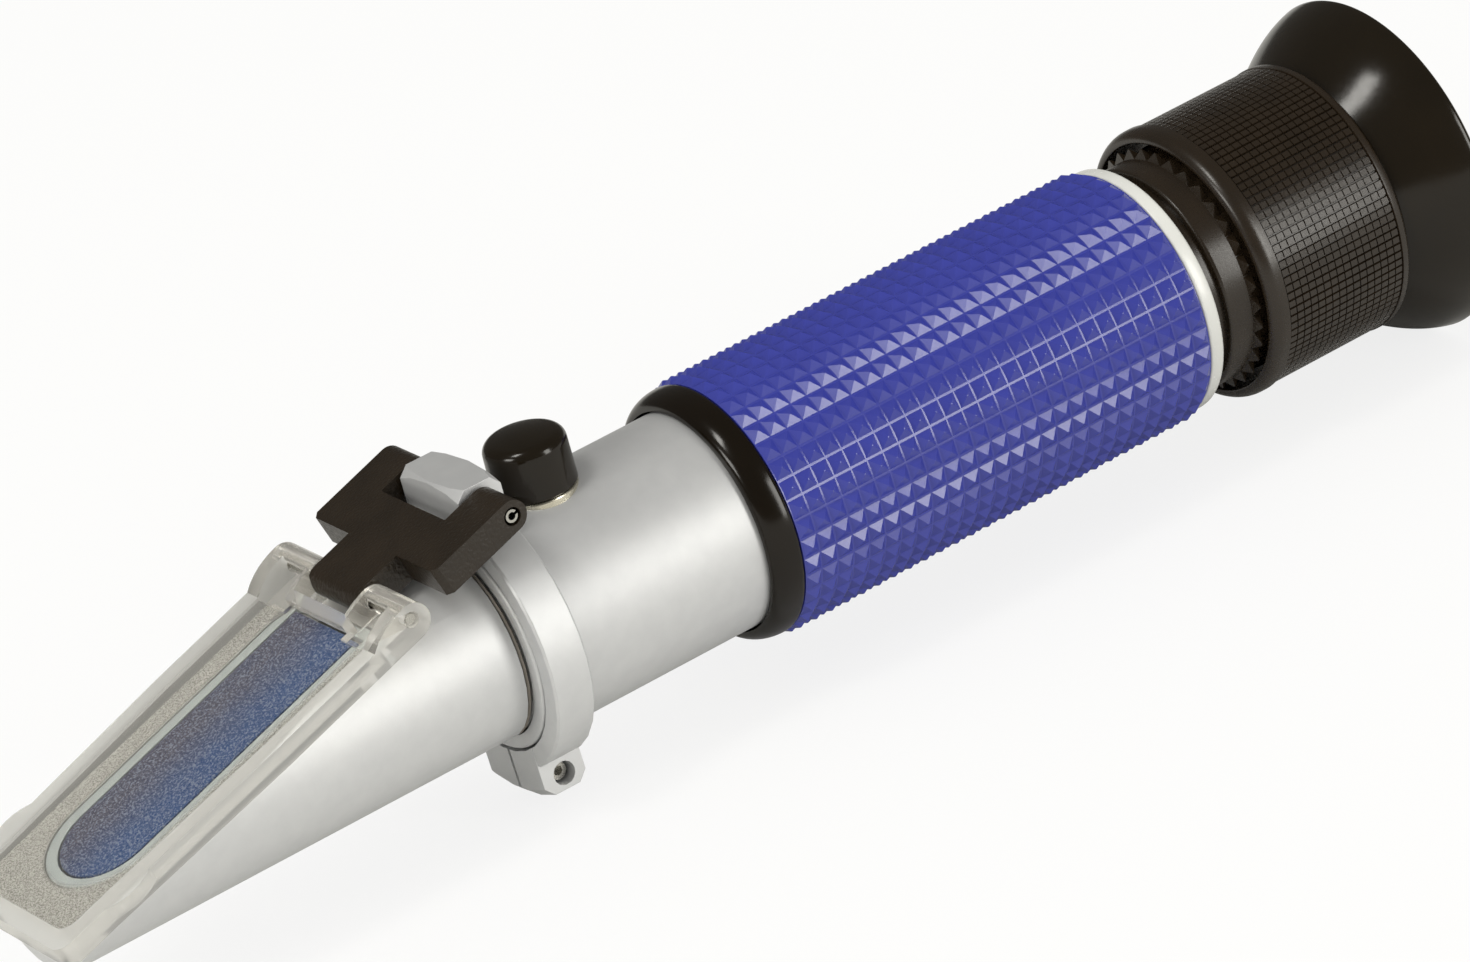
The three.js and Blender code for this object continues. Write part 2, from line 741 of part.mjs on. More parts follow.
function clampScrew() {
  const half = earHalfWidth - clampScrewRecess;
  const rod = solid(crossRod(clampScrewRadius, half, clampScrewStation, -clampScrewDepth));
  const socket = crossRod(clampSocketRadius, clampSocketDepth, clampScrewStation, -clampScrewDepth, 6);
  return toGeometry(rod.subtract(solid(socket.translate(0, -half, 0)))).rotateX(earTurn);
}

function bodyTube() {
  const shoulderRadius = boreRadius - scaleShoulderHeight;
  const shoulderRear = scaleShoulder + scaleShoulderLength;
  const tube = turned([
    [tubeFront, boreRadius],
    [tubeFront, tubeRadius - tubeLip],
    [tubeFront + tubeLip, tubeRadius],
    [tubeRear, tubeRadius],
    [tubeRear, boreRadius],
    [shoulderRear, boreRadius],
    [shoulderRear, shoulderRadius],
    [scaleShoulder, shoulderRadius],
    [scaleShoulder, boreRadius],
  ]);
  const hole = turnedUpright([
    [0, 0],
    [0, bushSpigotRadius + fit],
    [tubeRadius + overrun, bushSpigotRadius + fit],
    [tubeRadius + overrun, 0],
  ]).translate(calibrationStation, 0, 0);
  return toGeometry(solid(tube).subtract(solid(hole)));
}

// The space of the body tube with its clearance, for pieces that sit on its round top.
function tubeSaddle() {
  return solid(
    turned([
      [calibrationStation - tubeRadius, 0],
      [calibrationStation - tubeRadius, tubeRadius + fit],
      [calibrationStation + tubeRadius, tubeRadius + fit],
      [calibrationStation + tubeRadius, 0],
    ]),
  );
}

function calibrationBush() {
  const spigotFoot = boreRadius - bushReach;
  const neck = turnedUpright([
    [tubeRadius / 2, 0],
    [tubeRadius / 2, bushRadius],
    [bushTop, bushRadius],
    [bushTop, 0],
  ]);
  const spigot = turnedUpright([
    [spigotFoot, 0],
    [spigotFoot, bushSpigotRadius],
    [bushTop, bushSpigotRadius],
    [bushTop, 0],
  ]);
  const bore = turnedUpright([
    [0, 0],
    [0, screwRadius + fit],
    [bushTop + overrun, screwRadius + fit],
    [bushTop + overrun, 0],
  ]);
  const above = solid(neck.translate(calibrationStation, 0, 0)).subtract(tubeSaddle());
  return toGeometry(
    above
      .add(solid(spigot.translate(calibrationStation, 0, 0)))
      .subtract(solid(bore.translate(calibrationStation, 0, 0))),
  );
}

function calibrationScrew() {
  const rod = turnedUpright([
    [screwFoot, 0],
    [screwFoot, screwRadius],
    [screwTop, screwRadius],
    [screwTop, 0],
  ]);
  const slot = block(
    [-screwSlotWidth / 2, -2 * screwRadius, screwTop - screwSlotDepth],
    [screwSlotWidth / 2, 2 * screwRadius, screwTop + overrun],
  );
  return toGeometry(solid(rod).subtract(solid(slot)));
}

function calibrationCap() {
  const foot = tubeRadius / 2;
  const beadTop = tubeRadius + capBeadHeight;
  const outline = [
    [foot, 0],
    [foot, capBeadRadius],
    [beadTop - capBeadHeight / 2, capBeadRadius],
    [beadTop, capFootRadius],
    ...quarterRound(capTop, capTopRadius, capEdge, capEdge),
    [capTop, 0],
  ];
  const hollow = turnedUpright([
    [0, 0],
    [0, bushRadius + fit],
    [bushTop + fit, bushRadius + fit],
    [bushTop + fit, 0],
  ]);
  const outer = turnedUpright(outline, innerSides).translate(calibrationStation, 0, 0);
  return toGeometry(
    solid(outer)
      .subtract(solid(hollow.translate(calibrationStation, 0, 0)))
      .subtract(tubeSaddle()),
  );
}

// A lens, bulged to both sides inside a flat land, middle at the given station.
function lens(middle, radius, edge, bulge) {
  const steps = 2;
  const front = [];
  const rear = [];
  for (let i = 0; i <= steps; i++) {
    const share = i / steps;
    const rise = bulge * (1 - share * share);
    rear.push([middle + edge / 2 + rise, (radius - lensLand) * share]);
    front.unshift([middle - edge / 2 - rise, (radius - lensLand) * share]);
  }
  const band = [
    [middle + edge / 2, radius],
    [middle - edge / 2, radius],
  ];
  return turned([...rear, ...band, ...front], innerSides);
}

// A plain ring that sits in a bore, or a disc where its wall is its whole radius.
function plainRing(front, length, outer, wall) {
  return turned(
    [
      [front, outer - wall],
      [front, outer],
      [front + length, outer],
      [front + length, outer - wall],
    ],
    innerSides,
  );
}

function lensCarriage() {
  const front = calibrationStation - carriageLength / 2;
  const rear = calibrationStation + carriageLength / 2;
  const ledgeRadius = carriageBoreRadius - carriageLedge;
  const cell = turned(
    [
      [front, ledgeRadius],
      [front, carriageRadius],
      [rear, carriageRadius],
      [rear, carriageBoreRadius],
      [front + carriageLedge, carriageBoreRadius],
      [front + carriageLedge, ledgeRadius],
    ],
    innerSides,
  );
  const pad = block(
    [calibrationStation - carriagePadHalfWidth, -carriagePadHalfWidth, carriageBoreRadius + overrun],
    [calibrationStation + carriagePadHalfWidth, carriagePadHalfWidth, carriagePad],
  );
  return toGeometry(solid(cell).add(solid(pad)));
}

function objectiveLens() {
  const front = calibrationStation - carriageLength / 2 + carriageLedge + seat;
  return lens(front + objectiveEdge / 2, carriageBoreRadius - fit, objectiveEdge, objectiveBulgeHeight);
}

// The thermal strip runs back from the carriage along the tube, below the light path.
function thermalStrip() {
  const front = calibrationStation + carriageLength / 2 + seat;
  const low = -carriageRadius + stripThickness;
  const half = stripWidth / 2;
  return block([front, -half, low], [front + stripLength, half, low + stripThickness]);
}

// A leaf spring that bows up from the tube wall to the underside of the carriage.
function carriageSpring() {
  const footLow = -Math.sqrt((boreRadius - fit) ** 2 - (springWidth / 2) ** 2);
  const crown = -carriageRadius - 2 * fit;
  const arm = springHalfLength * springArmShare;
  const half = springHalfLength;
  const upper = [
    [-half, footLow + springThickness],
    [-half + springFoot, footLow + springThickness],
    [-arm, crown],
    [arm, crown],
    [half - springFoot, footLow + springThickness],
    [half, footLow + springThickness],
  ];
  const lower = upper.map(([x, z]) => [x, z - springThickness]).reverse();
  return sidePlate([...upper, ...lower], springWidth / 2).translate(calibrationStation, 0, 0);
}

function scaleDisc() {
  const front = scaleShoulder + scaleShoulderLength + seat;
  return plainRing(front, scaleDiscThickness, boreRadius - fit, boreRadius - fit);
}

function scaleRing() {
  const front = scaleShoulder + scaleShoulderLength + scaleDiscThickness + 2 * seat;
  return plainRing(front, scaleRingLength, boreRadius - fit, scaleRingWall);
}

function frontCollar() {
  const rear = collarFront + collarLength;
  const rise = collarRadius - collarLipRadius;
  const rounding = quarterRound(collarFront, collarRadius, -collarLength * collarRoundShare, rise, 4);
  return turned([
    [collarFront, tubeRadius + fit],
    ...rounding.reverse(),
    [rear, collarRadius],
    [rear, tubeRadius + fit],
  ]);
}

// Rows of square pyramids round a sleeve: each stands on four valley points and ends in a peak.
function gripSleeve() {
  const points = [];
  const faces = [];
  const ring = (x, radius, shift) => {
    const first = points.length;
    for (let i = 0; i < gripColumns; i++) {
      const turn = ((i + shift) / gripColumns) * 2 * Math.PI;
      points.push(new THREE.Vector3(x, radius * Math.cos(turn), radius * Math.sin(turn)));
    }
    return first;
  };
  const band = (front, rear) => {
    for (let i = 0; i < gripColumns; i++) {
      const next = (i + 1) % gripColumns;
      faces.push(front + i, front + next, rear + next);
      faces.push(front + i, rear + next, rear + i);
    }
  };
  const boreFront = ring(gripFront, tubeRadius + fit, 0);
  const boreRear = ring(gripFront + gripLength, tubeRadius + fit, 0);
  let valley = ring(gripFront, gripValleyRadius, 0);
  band(boreRear, boreFront);
  band(boreFront, valley);
  for (let row = 0; row < gripRows; row++) {
    const peak = ring(gripFront + (row + 1 / 2) * gripPitch, gripPeakRadius, 1 / 2);
    const nextValley = ring(gripFront + (row + 1) * gripPitch, gripValleyRadius, 0);
    for (let i = 0; i < gripColumns; i++) {
      const next = (i + 1) % gripColumns;
      const corners = [valley + i, valley + next, nextValley + next, nextValley + i];
      corners.forEach((corner, j) => faces.push(corner, corners[(j + 1) % corners.length], peak + i));
    }
    valley = nextValley;
  }
  band(valley, boreRear);
  return new THREE.BufferGeometry().setFromPoints(points).setIndex(faces);
}

function rearCollar() {
  return turned([
    [rearCollarFront, tubeRadius + fit],
    [rearCollarFront, rearCollarRadius],
    ...quarterRound(rearCollarRear, rearCollarRadius, rearCollarRound, rearCollarRound),
    [rearCollarRear, tubeRadius + fit],
  ]);
}

// A toothed rim as a flat shape: pointed teeth between two radii.
function toothedShape(count, low, high) {
  const shape = new THREE.Shape();
  for (let i = 0; i < 2 * count; i++) {
    const radius = i % 2 ? high : low;
    const turn = (i / count) * Math.PI;
    const x = radius * Math.cos(turn);
    const y = radius * Math.sin(turn);
    if (i === 0) shape.moveTo(x, y);
    else shape.lineTo(x, y);
  }
  shape.closePath();
  return shape;
}

// Turns an extruded shape so that its depth runs along the optical axis from a station.
function alongAxis(shape, front, length) {
  const geometry = new THREE.ExtrudeGeometry(shape, { depth: length, bevelEnabled: false });
  return geometry.rotateX(-Math.PI / 2).rotateZ(-Math.PI / 2).translate(front, 0, 0);
}

function eyepieceTube() {
  const front = eyeTubeShoulder - eyeTubeSpigotLength;
  const neckRear = eyeTubeShoulder + eyeTubeNeckLength;
  const body = turned([
    [front, 0],
    [front, boreRadius - fit],
    [eyeTubeShoulder, boreRadius - fit],
    [eyeTubeShoulder, eyeTubeNeckRadius],
    [neckRear, eyeTubeNeckRadius],
    [neckRear, eyeTubeRadius - tubeLip],
    [neckRear + tubeLip, eyeTubeRadius],
    [eyeTubeRear, eyeTubeRadius],
    [eyeTubeRear, 0],
  ]);
  const crown = alongAxis(
    toothedShape(crownTeeth, eyeTubeRadius, crownTipRadius),
    neckRear + eyeTubeBandLength,
    crownLength,
  );
  const bore = turned([
    [front - overrun, 0],
    [front - overrun, eyeTubeBore],
    [eyeTubeRear + overrun, eyeTubeBore],
    [eyeTubeRear + overrun, 0],
  ]);
  return toGeometry(solid(body).add(solid(crown)).subtract(solid(bore)));
}

function focusRing() {
  const knurlFront = ringLipFront + ringLipLength;
  const knurlRear = ringRear - rearRimLength;
  const core = knurlRadius - knurlDepth;
  const ribs = alongAxis(
    toothedShape(knurlRibs, core, knurlRadius),
    knurlFront - fit,
    knurlRear - knurlFront + 2 * fit,
  );
  const lipRound = quarterRound(ringLipFront, ringLipRadius, -ringLipRound, ringLipRoundHeight, 4);
  const lip = turned([
    [ringLipFront, 0],
    ...lipRound.reverse(),
    [knurlFront, ringLipRadius],
    [knurlFront, 0],
  ]);
  const rim = turned([
    [knurlRear, 0],
    [knurlRear, rearRimRadius],
    [ringRear - tubeLip, rearRimRadius],
    [ringRear, rearRimRadius - tubeLip],
    [ringRear, 0],
  ]);
  const mouthRear = ringLipFront + ringMouthDepth;
  const hollow = turned([
    [ringLipFront - overrun, 0],
    [ringLipFront - overrun, ringMouthRadius],
    [mouthRear, ringMouthRadius],
    [mouthRear, eyeTubeRadius + fit],
    [ringWebFront, eyeTubeRadius + fit],
    [ringWebFront, sleeveRadius + fit],
    [ringRear + overrun, sleeveRadius + fit],
    [ringRear + overrun, 0],
  ]);
  return toGeometry(solid(ribs).add(solid(lip)).add(solid(rim)).subtract(solid(hollow)));
}

function focusSleeve() {
  const ledgeRear = sleeveFront + sleeveLedgeLength;
  return turned(
    [
      [sleeveFront, sleeveBore - sleeveLedge],
      [sleeveFront, sleeveRadius],
      [sleeveRear, sleeveRadius],
      [sleeveRear, sleeveBore],
      [ledgeRear, sleeveBore],
      [ledgeRear, sleeveBore - sleeveLedge],
    ],
    innerSides,
  );
}

function fieldLens() {
  return lens(fieldLensMiddle, sleeveLensRadius, fieldLensEdge, fieldLensBulgeHeight);
}

function lensSpacer() {
  return plainRing(spacerFront, spacerLength, sleeveLensRadius, spacerWall);
}

function eyeLens() {
  return lens(eyeLensMiddle, sleeveLensRadius, eyeLensEdge, eyeLensBulgeHeight);
}

function lensRing() {
  return plainRing(lensRingFront, lensRingLength, sleeveLensRadius, lensRingWall);
}

function eyecup() {
  const length = cupRear - cupFront;
  const rise = cupRimRadius - cupNeckRadius;
  const steps = 4;
  const outer = [];
  for (let i = 0; i <= steps; i++) {
    const share = i / steps;
    const bell = share + cupBellShare * (Math.sin((share * Math.PI) / 2) - share);
    outer.push([cupFront + (length - cupRimRound) * share, cupNeckRadius + rise * bell]);
  }
  const inner = outer
    .map(([x, r]) => [x + cupWall / 2, r - cupWall])
    .filter(([x]) => x > cupFront + cupFloor && x < cupRear - cupRimRound)
    .reverse();
  const floorRadius = cupNeckRadius - cupWall;
  return turned([
    [cupFront, sleeveRadius + fit],
    ...outer,
    [cupRear, cupRimRadius - cupRimRound],
    [cupRear, cupRimRadius - cupWall + cupRimRound / 2],
    ...inner,
    [cupFront + cupFloor, floorRadius],
    [cupFront + cupFloor, sleeveRadius + fit],
  ]);
}

// Scene graph. The part stands on the rim of its eyecup, so the optical axis lies one
// rim radius above the ground, and X is centred on the length.
const instrument = new THREE.Group();
const [plateTip] = facePoint(plateFront, plateRest + plateThickness);
instrument.position.set(-(plateTip + cupRear) / 2, 0, cupRimRadius);
root.add(instrument);

// Everything that lies along the slanted face hangs in this group.
const slantedFace = new THREE.Group();
slantedFace.position.set(faceFootX, 0, faceFootZ);
slantedFace.rotation.y = -faceSlope;
instrument.add(slantedFace);

place(instrument, "prism_head", prismHead(), "aluminium");
place(instrument, "main_prism", mainPrism(), "prismGlass");
place(instrument, "prism_seal", prismSeal(), "sealant");
place(instrument, "head_seal", headSeal(), "sealRubber");

place(slantedFace, "daylight_plate", daylightPlate(), "acrylic");
place(slantedFace, "plate_pin", platePin(), "steel");
place(slantedFace, "hinge_block", hingeBlock(), "casting");
place(slantedFace, "hinge_pin", hingePin(), "steel");

place(instrument, "clamp_ring", clampRing(), "aluminium");
place(instrument, "clamp_screw", clampScrew(), "brass");
place(instrument, "body_tube", bodyTube(), "aluminium");

place(instrument, "calibration_bush", calibrationBush(), "brass");
place(instrument, "calibration_screw", calibrationScrew(), "steel").position.x = calibrationStation;
place(instrument, "calibration_cap", calibrationCap(), "blackGloss");

place(instrument, "lens_carriage", lensCarriage(), "brass");
place(instrument, "objective_lens", objectiveLens(), "glass");
place(instrument, "thermal_strip", thermalStrip(), "bimetal");
place(instrument, "carriage_spring", carriageSpring(), "steel");
place(instrument, "scale_disc", scaleDisc(), "glass");
place(instrument, "scale_ring", scaleRing(), "blackSatin");

place(instrument, "front_collar", frontCollar(), "blackGloss");
place(instrument, "grip_sleeve", gripSleeve(), "blueRubber");
place(instrument, "rear_collar", rearCollar(), "paleRing");

place(instrument, "eyepiece_tube", eyepieceTube(), "blackSatin");
place(instrument, "focus_ring", focusRing(), "blackSatin");
place(instrument, "focus_sleeve", focusSleeve(), "blackSatin");
place(instrument, "field_lens", fieldLens(), "glass");
place(instrument, "lens_spacer", lensSpacer(), "blackSatin");
place(instrument, "eye_lens", eyeLens(), "glass");
place(instrument, "lens_ring", lensRing(), "blackSatin");
place(instrument, "eyecup", eyecup(), "blackGloss");

export default root;
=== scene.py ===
"""Looks of a hand-held colostrum refractometer, dressed over its fixed CAD frame."""

import logging
import math
from dataclasses import dataclass
from enum import Enum
from functools import cache

import bmesh
import bpy
from mathutils import Matrix, Vector


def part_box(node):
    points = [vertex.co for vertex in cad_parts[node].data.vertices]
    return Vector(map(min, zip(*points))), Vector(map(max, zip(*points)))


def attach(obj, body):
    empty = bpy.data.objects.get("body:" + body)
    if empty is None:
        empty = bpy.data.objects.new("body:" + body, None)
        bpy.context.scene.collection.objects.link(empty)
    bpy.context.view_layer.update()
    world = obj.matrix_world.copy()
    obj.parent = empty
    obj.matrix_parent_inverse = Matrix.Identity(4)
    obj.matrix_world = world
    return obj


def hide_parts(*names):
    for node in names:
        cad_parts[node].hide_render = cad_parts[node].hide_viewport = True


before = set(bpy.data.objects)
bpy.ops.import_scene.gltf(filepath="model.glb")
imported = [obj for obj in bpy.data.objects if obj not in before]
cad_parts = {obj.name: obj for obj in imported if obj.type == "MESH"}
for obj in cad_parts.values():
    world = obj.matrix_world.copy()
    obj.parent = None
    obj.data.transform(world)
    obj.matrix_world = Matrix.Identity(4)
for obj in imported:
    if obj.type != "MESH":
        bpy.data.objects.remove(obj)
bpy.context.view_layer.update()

log = logging.getLogger("refractometer")

MM = 0.001
TUBE_FRONT = -2.5  # station of the body tube's front end, counted from the clamp ring
AXIS_HEIGHT = (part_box("body_tube")[0].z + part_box("body_tube")[1].z) / 2
STATION_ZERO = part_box("body_tube")[0].x - TUBE_FRONT * MM
FACE_SLOPE = math.radians(18.07)  # of the slanted face that carries the prism
FACE_CROSSING = -44.34  # station where the slanted face crosses the optical axis
SIDES = 144  # steps round a turned piece
SMALL_SIDES = 96  # the same for a small one
WELD = 0.001 * MM
CAD_WELD = 0.002 * MM  # joins the loose triangles of a CAD mesh
FLAT_ANGLE = math.radians(0.5)  # CAD faces that meet at less are one face
SHARP_ANGLE = math.radians(32)  # an edge that turns by more stays sharp
ROUNDED_SHARP_ANGLE = math.radians(40)  # the same once the edges are rounded
LARGEST_FACE = 100  # weight at which the largest face alone sets the normals beside it

Pair = tuple[float, float]
Outline = list[Pair]
Material = bpy.types.Material
Node = bpy.types.Node
Socket = bpy.types.NodeSocket
Thing = bpy.types.Object
Tree = bpy.types.NodeTree

MATH = "ShaderNodeMath"
COMBINE = "ShaderNodeCombineXYZ"
MAP_RANGE = "ShaderNodeMapRange"
MIX = "ShaderNodeMix"
MIX_SHADER = "ShaderNodeMixShader"
NOISE = "ShaderNodeTexNoise"
PRINCIPLED = "ShaderNodeBsdfPrincipled"
TRANSFORM = "GeometryNodeTransform"


class Body(Enum):
    """The rigid bodies that pieces ride on."""

    INSTRUMENT = "instrument"
    HINGE = "hinge_block"
    PLATE = "daylight_plate"
    CAP = "calibration_cap"
    RING = "focus_ring"


class Slot(Enum):
    """The record's material slots."""

    ALUMINIUM = "satin_aluminium"
    PLATE = "clear_plate"
    CASTING = "black_casting"
    BRASS = "fitting_brass"
    RUBBER = "cap_rubber"
    COLLAR = "collar_plastic"
    GRIP = "blue_rubber"
    PALE = "pale_plastic"
    BLACK = "black_plastic"


class Corner(Enum):
    """Corners of an outline that can be rounded: first angle, and the way to the tip."""

    FRONT_OUTER = (180, -1, 1)
    REAR_OUTER = (90, 1, 1)
    FRONT_INNER = (270, -1, -1)


class PlateZone(Enum):
    """Areas of the daylight plate, by the material slot of their faces."""

    RIM = 1
    UNDERSIDE = 2
    WINDOW = 3


# Nodes


def linear(colour: str) -> tuple[float, float, float, float]:
    """Turns an sRGB hex colour into linear values.

    Args:
        colour: the colour as "#rrggbb".

    Returns:
        The linear red, green, blue and alpha.
    """
    parts = [int(colour[i : i + 2], 16) / 255 for i in (1, 3, 5)]
    flat = [c / 12.92 if c <= 0.04045 else ((c + 0.055) / 1.055) ** 2.4 for c in parts]
    return (flat[0], flat[1], flat[2], 1.0)


def add_node(
    tree: Tree, kind: str, inputs: dict[str | int, object] | None = None, **settings: object
) -> Node:
    """Adds a node with its settings, values and links.

    Args:
        tree: the node tree that gets the node.
        kind: the node's type name.
        inputs: value, output socket or node for each input, by name or index. A node gives
            its first output that is in use.
        **settings: properties of the node itself.

    Returns:
        The new node.
    """
    node = tree.nodes.new(kind)
    for name, value in settings.items():
        setattr(node, name, value)
    for name, value in (inputs or {}).items():
        if isinstance(value, Node):
            value = next(output for output in value.outputs if output.enabled)
        if isinstance(value, Socket):
            tree.links.new(value, node.inputs[name])
        else:
            node.inputs[name].default_value = value
    return node


def emptied(owner: Material | bpy.types.World) -> Tree:
    """Gives the node tree of a new material or world, with nothing in it.

    Args:
        owner: the material or world.

    Returns:
        Its empty tree.
    """
    owner.use_nodes = True
    owner.node_tree.nodes.clear()
    return owner.node_tree


def per_mm(width: float) -> float:
    """Gives the scale of a noise whose patches are so many millimetres wide."""
    return 1 / (width * MM)


def lit_through(tree: Tree, shader: Node, tint: str) -> Node:
    """Lets light from the lamps pass a clear material to what lies behind it.

    Args:
        tree: the material's node tree.
        shader: the shader that is seen.
        tint: colour of the light that passes, as sRGB hex.

    Returns:
        The shader with its clear shadow.
    """
    path = add_node(tree, "ShaderNodeLightPath").outputs
    passing = add_node(tree, "ShaderNodeBsdfTransparent", {"Color": linear(tint)})
    return add_node(tree, MIX_SHADER, {0: path["Is Shadow Ray"], 1: shader, 2: passing})


# Finishes


@dataclass(frozen=True)
class Surface:
    """What every finish has: a material's name, and nodes over the Object coordinates."""

    name: str

    def shade(self, tree: Tree, place: Socket) -> Node:
        """Adds the nodes of the finish.

        Args:
            tree: the material's node tree.
            place: the Object coordinates.

        Returns:
            The shader.
        """
        raise NotImplementedError

    @cache
    def build(self) -> Material:
        """Builds the node material at its first use, and keeps it for the next.

        Returns:
            The finished material.
        """
        material = bpy.data.materials.new(self.name)
        tree = emptied(material)
        place = add_node(tree, "ShaderNodeTexCoord").outputs["Object"]
        add_node(tree, "ShaderNodeOutputMaterial", {"Surface": self.shade(tree, place)})
        return material


@dataclass(frozen=True)
class Finish(Surface):
    """A surface with a grain: two colours mixed by fine noise, and a bump of real size.

    Attributes:
        light: the paler of the two colours, as sRGB hex.
        dark: the deeper of the two colours.
        roughness: middle roughness.
        spread: how far the roughness strays to both sides.
        metallic: 1 for bare metal.
        ior: index of refraction.
        grain: width of the grain in millimetres.
        relief: height of the grain in millimetres.
        shine: specular level, 0.5 for a clean surface.
        patch: width of the patches of colour, counted in grains.
    """

    light: str
    dark: str
    roughness: float
    spread: float = 0.04
    metallic: float = 0.0
    ior: float = 1.5
    grain: float = 0.4
    relief: float = 0.004
    shine: float = 0.5
    patch: float = 12.0

    def shade(self, tree: Tree, place: Socket) -> Node:
        """Adds the patches of colour, the grain and the shader.

        Args:
            tree: the material's node tree.
            place: the Object coordinates.

        Returns:
            The shader.
        """
        patches = per_mm(self.grain * self.patch)
        mottle = add_node(tree, NOISE, {"Vector": place, "Scale": patches, "Detail": 3.0})
        grain = add_node(
            tree, NOISE, {"Vector": place, "Scale": per_mm(self.grain), "Detail": 2.0}
        )
        colours = {"Factor": mottle, "A": linear(self.dark), "B": linear(self.light)}
        least, most = self.roughness - self.spread, self.roughness + self.spread
        relief = {"Height": grain, "Distance": self.relief * MM, "Strength": 1.0}
        finish = {
            "Base Color": add_node(tree, MIX, colours, data_type="RGBA"),
            "Roughness": add_node(
                tree, MAP_RANGE, {"Value": grain, "To Min": least, "To Max": most}
            ),
            "Metallic": self.metallic,
            "IOR": self.ior,
            "Specular IOR Level": self.shine,
            "Normal": add_node(tree, "ShaderNodeBump", relief),
        }
        return add_node(tree, PRINCIPLED, finish)


# Bead-blasted and anodised: an even, slightly sparkling grey. The oxide layer scatters light
# before it reaches the metal, so it counts as less than fully metallic. Real bead-blasting is
# about 0.05 mm fine, which the render can't show, so its grain is drawn coarser.
SATIN_ALUMINIUM = Finish(
    "satin_anodised_aluminium", "#d6d7d8", "#cbccce", 0.52, 0.05, metallic=0.64, grain=0.18
)
# Die casting under matt stove enamel: brown-black with a fine pebble.
ENAMELLED_CASTING = Finish(
    "stove_enamelled_casting", "#2b2217", "#191209", 0.35, 0.12, relief=0.1, shine=0.45
)
# Moulded nitrile rubber, polished by its mould: deep black with clear highlights.
POLISHED_RUBBER = Finish(
    "polished_nitrile_rubber", "#1c160d", "#120e08", 0.17, 0.03, ior=1.52, grain=0.8, shine=0.33
)
# ABS from a polished mould: near-black, with narrow, sharp highlights.
GLOSS_ABS = Finish(
    "gloss_moulded_abs", "#150f08", "#0d0904", 0.17, 0.02, ior=1.53, grain=0.9, shine=0.3
)
# ABS from a blasted mould: brown-black with broad, soft highlights.
SATIN_ABS = Finish(
    "satin_moulded_abs", "#271e14", "#1c150d", 0.28, 0.05, ior=1.53, grain=0.35, shine=0.48
)
# Blue thermoplastic rubber, moulded: each facet of the pyramids takes its own soft gloss.
GRIP_RUBBER = Finish("blue_moulded_rubber", "#343b93", "#2e3487", 0.25, 0.03, grain=0.5, shine=0.6)
# Silver-grey ABS, moulded: pale, even and a little glossy, without a metal's sparkle.
PALE_ABS = Finish("pale_moulded_abs", "#cdcecb", "#c2c3c0", 0.26, ior=1.53)
# Stainless steel, turned and polished: small bright spots between dark ones. The marks of
# turning, here and on the brass, are drawn coarser than they are, because they wouldn't show.
BRIGHT_STEEL = Finish(
    "bright_stainless_steel", "#c9c7c1", "#b9b7b0", 0.27, 0.05, metallic=1.0, grain=0.15
)
# Turned brass under nickel plate: pale and slightly warm.
NICKELLED_BRASS = Finish(
    "nickelled_brass", "#d9d4c3", "#ccc6b4", 0.28, 0.05, metallic=1.0, grain=0.15
)
# Turned brass, a little dulled: yellow with a soft shine.
TURNED_BRASS = Finish("turned_brass", "#cbb27a", "#b79d66", 0.3, 0.05, metallic=1.0, grain=0.15)
# Silicone sealing compound, wiped by hand: a bluish white bead without any sharp highlight.
SEALANT = Finish("silicone_sealant", "#b0b7bb", "#9fa8ad", 0.45, 0.05, ior=1.41, grain=0.6)
# Moulded seal rubber: dull grey, which reads as a thin dark line between bright parts.
SEAL_RUBBER = Finish("moulded_seal_rubber", "#79736b", "#6a645c", 0.5, 0.05, grain=0.3)


